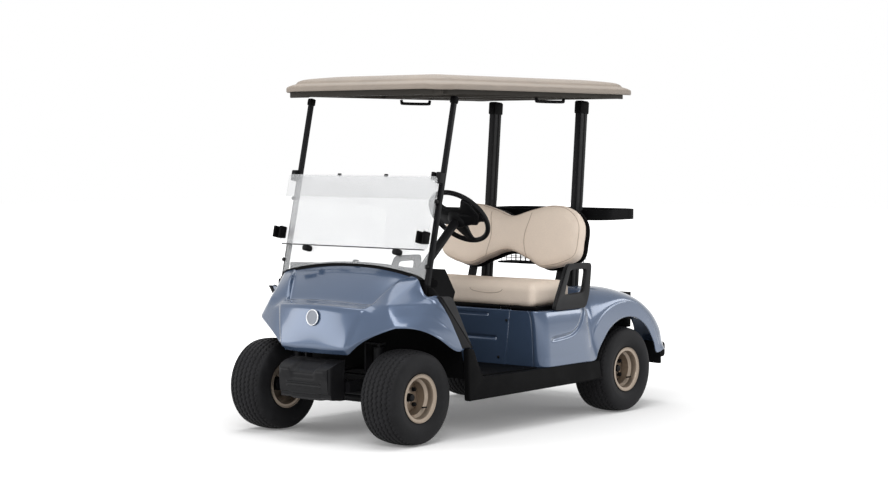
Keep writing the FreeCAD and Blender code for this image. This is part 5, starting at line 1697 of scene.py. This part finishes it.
@dataclass
class Struts:
    """Front and rear struts of the roof, with their shoes and top brackets."""

    front: Place = STRUT_PLANE
    rear: Place = Place((0.0, 0.594, 0.455), 4.8)
    roof_z: float = 1.6657
    front_x: float = 0.475
    rear_x: float = 0.295
    front_wide: float = 0.024
    front_edge: float = 0.005
    rear_section: Outline = (
        (0.019, -0.031), (0.019, -0.008), (0.016, -0.006), (0.016, 0.006), (0.019, 0.008), (0.019, 0.031))
    rear_edge: float = 0.004
    shoe_size: Point = (0.030, 0.030, 0.076)
    shoe_up: float = 0.026
    bracket_size: Point = (0.044, 0.078, 0.066)
    bracket_down: float = 0.038
    cap_size: Point = (0.032, 0.032, 0.034)
    cap_down: float = 0.020

    def reach(self, place: Place) -> float:
        """Length of a strut from its origin up to the roof frame."""
        return (self.roof_z - place.origin[2]) / math.cos(math.radians(place.lean))

    def tubes(self, name: str, place: Place, x: float, section: Array, node: str) -> None:
        """Pair of struts, each a section carried along a straight line.

        Args:
            name: name of the piece.
            place: plane of the struts.
            x: distance from the middle.
            section: closed outline.
            node: CAD node that they replace.
        """
        ends = (-0.008, self.reach(place) - 0.002)
        rings = np.stack([np.pad(section + [x, 0], ((0, 0), (0, 1)), constant_values=up) for up in ends])
        Form().both(place.put(rings)).piece(name, Slot.STRUT_BLACK, "root", [node], sharp=30.0)

    def build(self) -> None:
        """Square front tubes, grooved rear extrusions, and their fittings."""
        square = rounded_square(self.front_wide, self.front_wide, self.front_edge)
        self.tubes("front_strut_tubes", self.front, self.front_x, square, "front_struts")
        right = np.asarray(self.rear_section)
        grooved = rounded_corners(np.concatenate([right, right[::-1] * [-1, 1]]), self.rear_edge, 3)
        self.tubes("rear_strut_tubes", self.rear, self.rear_x, grooved, "rear_struts")
        fittings = Form()
        for place, x, up, size, edge in (
                (self.front, self.front_x, self.shoe_up, self.shoe_size, 0.005),
                (self.rear, self.rear_x, self.reach(self.rear) - self.bracket_down, self.bracket_size, 0.006),
                (self.front, self.front_x, self.reach(self.front) - self.cap_down, self.cap_size, 0.005)):
            fittings.both(place.put(box_rings((x, 0.0, up), size, edge)))
        fittings.piece("strut_fittings", Slot.TEXTURED_BLACK)


# Windshield


@dataclass
class Windshield:
    """Fold-down windshield in the plane of the front struts.

    Depths are in front of the struts' middle when negative. The fold axis lies between the two panes.
    """

    plane: Place = STRUT_PLANE
    half: float = 0.492
    low: float = 0.225
    top: float = 0.585
    rear: float = -0.056
    thick: float = 0.005
    pane_corner: float = 0.022
    pane_edge: float = 0.0012
    axis_depth: float = -0.0365
    lower_half: float = 0.470
    lower_depths: tuple[float, float] = (-0.022, -0.017)
    foot: Outline = (
        (0.0, 0.1480), (0.100, 0.1465), (0.200, 0.1400), (0.300, 0.1280), (0.385, 0.1130), (0.440, 0.0995),
        (0.470, 0.0870))
    bead_size: tuple[float, float] = (0.0075, 0.0050)
    latch_x: float = 0.475
    latch_up: float = 0.252
    latch_tall: float = 0.058
    latch_half: float = 0.028
    latch_deep: float = 0.044
    latch_gap: float = 0.0003
    slot_half: float = 0.0125
    slot_wall: float = 0.0028
    arm_x: float = 0.453
    arm_size: Point = (0.019, 0.026, 0.038)
    edge_clip_x: float = 0.155
    edge_clip_size: Point = (0.022, 0.009, 0.014)
    head: Point = (0.480, -0.0290, 0.583)
    head_size: Point = (0.030, 0.036, 0.054)
    buffer_x: float = 0.299
    buffer_size: Point = (0.034, 0.054, 0.030)
    screw_ups: Sequence[float] = (0.150, 0.467)
    screw_radius: float = 0.010

    def pane(self) -> bpy.types.Object:
        """Folded pane with rounded corners and eased rims.

        Returns:
            The piece.
        """
        tall, middle = self.top - self.low, (self.top + self.low) / 2
        outline = rounded_square(2 * self.half, tall, self.pane_corner, 6) + [0, middle]
        rings = self.plane.put(plate_rings(outline, self.rear - self.thick, self.rear, self.pane_edge, 2))
        return Form().skin(rings).piece(
            "upper_pane_sheet", Slot.CLEAR_PANE, "upper_pane", ["windshield_upper"])

    def lower_pane(self) -> bpy.types.Object:
        """Fixed pane between the struts, its foot following the cowl.

        Returns:
            The piece.
        """
        foot, head = spline(self.foot, 6), self.top + 0.004
        corners = [[self.lower_half, head], [-self.lower_half, head]]
        line = np.concatenate([corners, foot[::-1] * [-1, 1], foot[1:]])
        rings = self.plane.put(plate_rings(line, *self.lower_depths, self.pane_edge, 2))
        return Form().skin(rings).piece("lower_pane_sheet", Slot.CLEAR_PANE, "root", ["windshield_lower"])

    def bead(self) -> bpy.types.Object:
        """Dark bead on the folded pane's lower edge, which closes against the roof when the pane is up.

        Returns:
            The piece.
        """
        end, depth = self.half - self.pane_corner, self.rear - self.thick / 2
        line = np.array([(-end, depth, self.low), (end, depth, self.low)])
        form = Form().skin(self.plane.put(tube_rings(line, rounded_square(*self.bead_size, 0.0018))))
        return form.piece("pane_bead", Slot.TRIM_GREY, "upper_pane")

    def latches(self) -> bpy.types.Object:
        """Blocks whose slots grip the struts when the pane is up, hinge arms, and small clips on the edge.

        Returns:
            The piece.
        """
        w, slot = self.latch_half, self.slot_half
        back = self.rear - self.thick - self.latch_gap
        front, wall = back - self.latch_deep, back - self.slot_wall
        corners = [(w, back), (-w, back), (-w, front), (-slot, front), (-slot, wall), (slot, wall),
                   (slot, front), (w, front)]
        outline = rounded_corners(corners, 0.005, 4) + [self.latch_x, 0]
        block = plate_rings(outline, self.latch_up, self.latch_up + self.latch_tall, 0.004)[..., [0, 2, 1]]
        arm = (self.arm_x, (self.rear + self.axis_depth) / 2 + 0.004, self.top + 0.004)
        clip = (self.edge_clip_x, self.rear + 0.0055, self.top + 0.002)
        form = Form().both(self.plane.put(block))
        form.both(self.plane.put(box_rings(arm, self.arm_size, 0.004)))
        form.both(self.plane.put(box_rings(clip, self.edge_clip_size, 0.003)))
        return form.piece("pane_latches", Slot.TEXTURED_BLACK, "upper_pane", ["windshield_hinges"])

    def clips(self) -> bpy.types.Object:
        """Hinge heads on the struts, buffers under the folded pane, and the screws that hold the lower pane.

        Returns:
            The piece.
        """
        buffer = (self.buffer_x, -0.0500, self.low - 0.0155)
        form = Form().both(self.plane.put(box_rings(self.head, self.head_size, 0.006, 4)))
        form.both(self.plane.put(box_rings(buffer, self.buffer_size, 0.012, 4)))
        for up in self.screw_ups:
            ends = ((self.latch_x, -0.0300, up), (self.latch_x, -0.0125, up))
            form.both(self.plane.put(bar_rings(*ends, self.screw_radius, 16, 0.002)))
        return form.piece("pane_clips", Slot.SOFT_BLACK, "root", ["windshield_clips"])

    def build(self) -> None:
        """Makes both panes and their fittings."""
        self.pane()
        self.lower_pane()
        self.bead()
        self.latches()
        self.clips()


# Steering


@dataclass
class SteeringWheel:
    """Steering wheel with a broad hub housing and three spokes."""

    place: Place = Place((0.260, -0.309, 1.068), 49.0)
    radius: float = 0.163
    grip: float = 0.0128
    hub: Outline = (
        (0.008, 0.002), (0.008, 0.040), (0.002, 0.055), (-0.010, 0.060), (-0.034, 0.050), (-0.046, 0.034),
        (-0.048, 0.004))
    wings: Outline = (
        (-0.150, -0.030), (-0.110, 0.040), (0.110, 0.040), (0.150, -0.030), (0.128, -0.100), (0.088, -0.132),
        (0.050, -0.070), (-0.050, -0.070), (-0.088, -0.132), (-0.128, -0.100))
    wing_corner: float = 0.014
    wing_depths: tuple[float, float] = (-0.022, -0.002)
    spoke_turns: Sequence[float] = (0.0, 180.0, 90.0)
    spoke_from: float = 0.030
    spoke_wide: float = 0.080
    spoke_narrow: float = 0.044
    spoke_foot: float = 0.018
    spoke_deep: float = 0.030
    spoke_thin: float = 0.014
    spoke_sink: float = 0.022

    def build(self) -> bpy.types.Object:
        """Rim as a torus, hub as a turned dome, spokes as sections that narrow towards the rim, and wings.

        Returns:
            The piece.
        """
        path = np.pad(circle(self.radius, 96), ((0, 0), (0, 1)))
        form = Form().skin(self.place.put(tube_rings(path, circle(self.grip, 20), closed=True)), loop=True)
        hub = np.swapaxes(turned_rings(np.asarray(self.hub), (0, 0, 0), 48), 0, 1)[..., [1, 2, 0]]
        wings = plate_rings(rounded_corners(self.wings, self.wing_corner), *self.wing_depths, 0.006)
        for rings in (hub, *(self.spoke(turn) for turn in self.spoke_turns), wings[..., [0, 2, 1]]):
            form.skin(self.place.put(rings))
        return form.piece("steering_wheel_body", Slot.SOFT_BLACK, "steering", ["steering_wheel"])

    def spoke(self, degrees: float) -> Array:
        """Spoke along X turned about the hub: rounded sections whose width and depth shrink outwards.

        The width falls by a smooth step and grows again at the rim, the depth falls evenly, and the spoke
        rises from the hub by the way to the power of 1.5.

        Args:
            degrees: turn about the hub.

        Returns:
            Rings of points by three.
        """
        share = np.linspace(0, 1, 12)[:, None, None]
        slim = (self.spoke_wide - self.spoke_narrow) * smoothstep(0, 0.8, share)
        wide = self.spoke_wide - slim + self.spoke_foot * smoothstep(0.8, 1, share)
        deep = self.spoke_deep - (self.spoke_deep - self.spoke_thin) * share
        section = rounded_square(1, 1, 0.3, 5)[None]
        x = self.spoke_from + share * (self.radius - self.spoke_from) + 0 * section[..., :1]
        y, z = section[..., :1] * wide, section[..., 1:] * deep - self.spoke_sink * (1 - share ** 1.5)
        c, s = math.cos(math.radians(degrees)), math.sin(math.radians(degrees))
        return np.concatenate([x * c - y * s, x * s + y * c, z], axis=-1)


# Trims and skirts


@dataclass
class Skirts:
    """Sill skirts, pillar trims and mud flaps as plates with eased rims, and the rear bumper as a block."""

    sill: Outline = (
        (-0.616, 0.190), (0.477, 0.199), (0.450, 0.299), (-0.529, 0.299), (-0.602, 0.445), (-0.645, 0.445),
        (-0.635, 0.190))
    sill_x: tuple[float, float] = (0.556, 0.590)
    band: Outline = (
        (-0.835, 0.712), (-0.790, 0.640), (-0.740, 0.560), (-0.668, 0.4455), (-0.585, 0.4455),
        (-0.640, 0.535), (-0.695, 0.628), (-0.735, 0.694), (-0.760, 0.706))
    band_x: tuple[float, float] = (0.546, 0.573)
    shoulder: Outline = (
        (-0.832, 0.704), (-0.828, 0.750), (-0.810, 0.748), (-0.777, 0.722), (-0.732, 0.671), (-0.815, 0.700))
    shoulder_x: tuple[float, float] = (0.489, 0.508)
    edge: float = 0.006
    flap: Outline = ((0.365, 0.232), (0.575, 0.228), (0.570, 0.350), (0.370, 0.350))
    flap_y: tuple[float, float] = (1.0552, 1.0588)
    bumper_centre: Point = (0.0, 1.158, 0.295)
    bumper_size: Point = (1.040, 0.062, 0.085)

    def plates(self, name: str, slot: Slot, corners: Outline, corner: float, between: tuple[float, float],
               nodes: Sequence[str] = ()) -> None:
        """Pair of upright plates.

        Args:
            name: name of the piece.
            slot: finish.
            corners: corners of the side outline as (y, z) pairs.
            corner: how far its corners are eased.
            between: distances of both faces from the middle.
            nodes: CAD nodes that they replace.
        """
        rings = plate_rings(rounded_corners(corners, corner), *between, self.edge)[..., [1, 0, 2]]
        Form().both(rings).piece(name, slot, "root", nodes)

    def build(self) -> None:
        """Makes the skirts, trims, flaps and rear bumper."""
        self.plates("sill_skirts", Slot.TEXTURED_BLACK, self.sill, 0.014, self.sill_x, ["sills"])
        self.plates("pillar_bands", Slot.TRIM_GREY, self.band, 0.006, self.band_x, ["pillar_trims"])
        self.plates("pillar_shoulders", Slot.TEXTURED_BLACK, self.shoulder, 0.008, self.shoulder_x)
        flap = plate_rings(rounded_corners(self.flap, 0.012), *self.flap_y, 0.0015)
        Form().both(flap).piece("rear_flaps", Slot.SOFT_BLACK, "root", ["mud_flaps"])
        Form().skin(box_rings(self.bumper_centre, self.bumper_size, 0.018, 5)).piece(
            "rear_bumper_bar", Slot.TEXTURED_BLACK, "root", ["rear_bumper"])


@dataclass
class Basket:
    """Wire basket behind the seat back, hung on the rear struts."""

    half: float = 0.262
    front: float = 0.664
    rear: float = 0.790
    low: float = 0.775
    top: float = 0.857
    corner: float = 0.020
    rim_wire: float = 0.0045
    wire: float = 0.0022
    pitch: float = 0.0335

    def build(self) -> bpy.types.Object:
        """Upper and lower rims, wires down the front, across the bottom and up the rear, and long wires.

        Returns:
            The piece.
        """
        form = Form()
        front, rear, low, top = self.front, self.rear, self.low, self.top
        rim = rounded_square(2 * self.half, rear - front, self.corner, 5) + [0, (front + rear) / 2]
        around = resampled(np.concatenate([rim, rim[:1]]), 81)[:-1]
        for z in (low, top):
            path = np.pad(around, ((0, 0), (0, 1)), constant_values=z)
            form.skin(tube_rings(path, circle(self.rim_wire, 8), closed=True), loop=True)
        bend = np.array([(front, top), (front, low), (rear, low), (rear, top)])
        for x in np.arange(-self.half + self.pitch, self.half - self.pitch / 2, self.pitch):
            path = np.pad(bend, ((0, 0), (1, 0)), constant_values=x)
            form.skin(tube_rings(path, circle(self.wire, 6), (1.0, 0.0, 0.0)))
        for z in np.linspace(low, top, 4)[1:-1]:
            for y in (front, rear):
                form.skin(bar_rings((-self.half, y, z), (self.half, y, z), self.wire, 6))
        return form.piece("wire_basket", Slot.TEXTURED_BLACK, "root", ["sweater_basket"])


# Scene


def dress_nodes() -> None:
    """Gives every CAD node that stays the finish of its own slot."""
    finishes = {slot.value.slot: slot.value for slot in Slot}
    for name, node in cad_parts.items():
        slot = node.data.materials[0].name.split(".")[0]
        node.data.materials[0] = finishes[slot].material()
        log.info("node %s keeps its shape, finish %s", name, slot)


@dataclass
class Studio:
    """Camera, floor, lamps and world.

    A lamp is its name, place, aim, size and power.
    """

    camera_spot: Point = (6.603, -8.077, 1.4466)
    camera_turn: Point = (90.0 - 3.127, 0.0, 39.677)
    lens: float = 80.71
    floor_half: float = 30.0
    fade: tuple[float, float] = (1.5, 3.2)
    glow: float = 0.14
    diffuse_light: float = 0.48
    lamps: Sequence[tuple[str, Point, Point, tuple[float, float], float]] = (
        ("front_left", (-4.6, -5.6, 1.7), (0, 0, 0.7), (4.4, 2.4), 120.0),
        ("rear_right", (4.6, 5.2, 2.1), (0, 0, 0.7), (3.2, 1.6), 80.0),
        ("overhead", (0.0, 0.0, 5.0), (0, 0, 0), (5.0, 5.0), 190.0),
        ("key", (4.0, -6.0, 5.0), (0, 0, 0.7), (4.0, 3.0), 240.0))

    def camera(self) -> None:
        """Camera at the photograph's angle."""
        data = bpy.data.cameras.new("camera")
        data.lens, data.sensor_width = self.lens, 36.0
        item = bpy.data.objects.new("camera", data)
        item.location = self.camera_spot
        item.rotation_euler = tuple(math.radians(part) for part in self.camera_turn)
        bpy.context.scene.collection.objects.link(item)
        bpy.context.scene.camera = item

    def lamp(self, name: str, spot: Point, aim: Point, size: tuple[float, float], watts: float) -> None:
        """Soft area lamp aimed at a point.

        Args:
            name: name of the lamp.
            spot: where it stands.
            aim: point that it faces.
            size: width and height.
            watts: power.
        """
        data = bpy.data.lights.new(name, "AREA")
        data.shape, data.size, data.size_y, data.energy = "RECTANGLE", size[0], size[1], watts
        item = bpy.data.objects.new(name, data)
        item.location = spot
        item.rotation_euler = (Vector(aim) - Vector(spot)).to_track_quat("-Z", "Y").to_euler()
        bpy.context.scene.collection.objects.link(item)

    def seen(self, graph: Graph) -> Term:
        """Sum of Light Path's camera, glossy and transmission rays, at least 1 for what these see."""
        rays = [graph.add("ShaderNodeLightPath", {}, {}, f"Is {kind} Ray")
                for kind in ("Camera", "Glossy", "Transmission")]
        return rays[0] + rays[1] + rays[2]

    def world(self) -> None:
        """White for what the camera, gloss and glass see, and a softer grey for diffuse light."""
        world = bpy.data.worlds.new("studio")
        bpy.context.scene.world = world
        graph = Graph(world)
        strength = self.seen(graph).ramp(0.0, 1.0, self.diffuse_light, 1.0)
        light = graph.add("ShaderNodeBackground", {}, {"Color": (1.0, 1.0, 1.0, 1.0), "Strength": strength})
        graph.add("ShaderNodeOutputWorld", {}, {"Surface": light})

    def floor(self) -> None:
        """Pale floor that keeps the shadow and fades to white for the camera, gloss and glass."""
        edge = self.floor_half
        mesh = bpy.data.meshes.new("floor")
        corners = [(-edge, -edge, 0), (edge, -edge, 0), (edge, edge, 0), (-edge, edge, 0)]
        mesh.from_pydata(corners, [], [(0, 1, 2, 3)])
        item = bpy.data.objects.new("floor", mesh)
        bpy.context.scene.collection.objects.link(item)
        material = bpy.data.materials.new("floor")
        graph = Graph(material)
        seen = self.seen(graph).ramp(0.0, 1.0)
        away = graph.add("ShaderNodeVectorMath", {"operation": "LENGTH"}, {0: graph.place()}, "Value")
        share = seen * away.ramp(*self.fade, self.glow, 1.0)
        lift = graph.blend(share, (0.0, 0.0, 0.0, 1.0), (1.0, 1.0, 1.0, 1.0))
        graph.surface({"Base Color": (0.86, 0.86, 0.86, 1.0), "Roughness": 0.9, "Specular IOR Level": 0.0,
                       "Emission Color": lift, "Emission Strength": 1.0})
        mesh.materials.append(material)

    def build(self) -> None:
        """Makes the studio."""
        self.camera()
        self.world()
        self.floor()
        for lamp in self.lamps:
            self.lamp(*lamp)
        bpy.context.scene.view_settings.view_transform = "Standard"


def main() -> None:
    """Builds the cart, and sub-assembly by sub-assembly."""
    logging.basicConfig(level=logging.INFO, format="%(name)s: %(message)s")
    Studio().build()
    dress_nodes()
    for end, y, track in AXLES:
        for hand, side in (("left", 1), ("right", -1)):
            centre = (side * track / 2, y, Wheel.radius)
            Wheel(f"{end}_{hand}", f"wheel_{end[0]}{hand[0]}", centre, side).build()
    for part in (Cowl, FrontBumper, Dash, RearBody, Seat, HipRestraints, Canopy, Struts, Windshield,
                 SteeringWheel, Skirts, Basket):
        part().build()


if __name__ == "__main__":
    main()
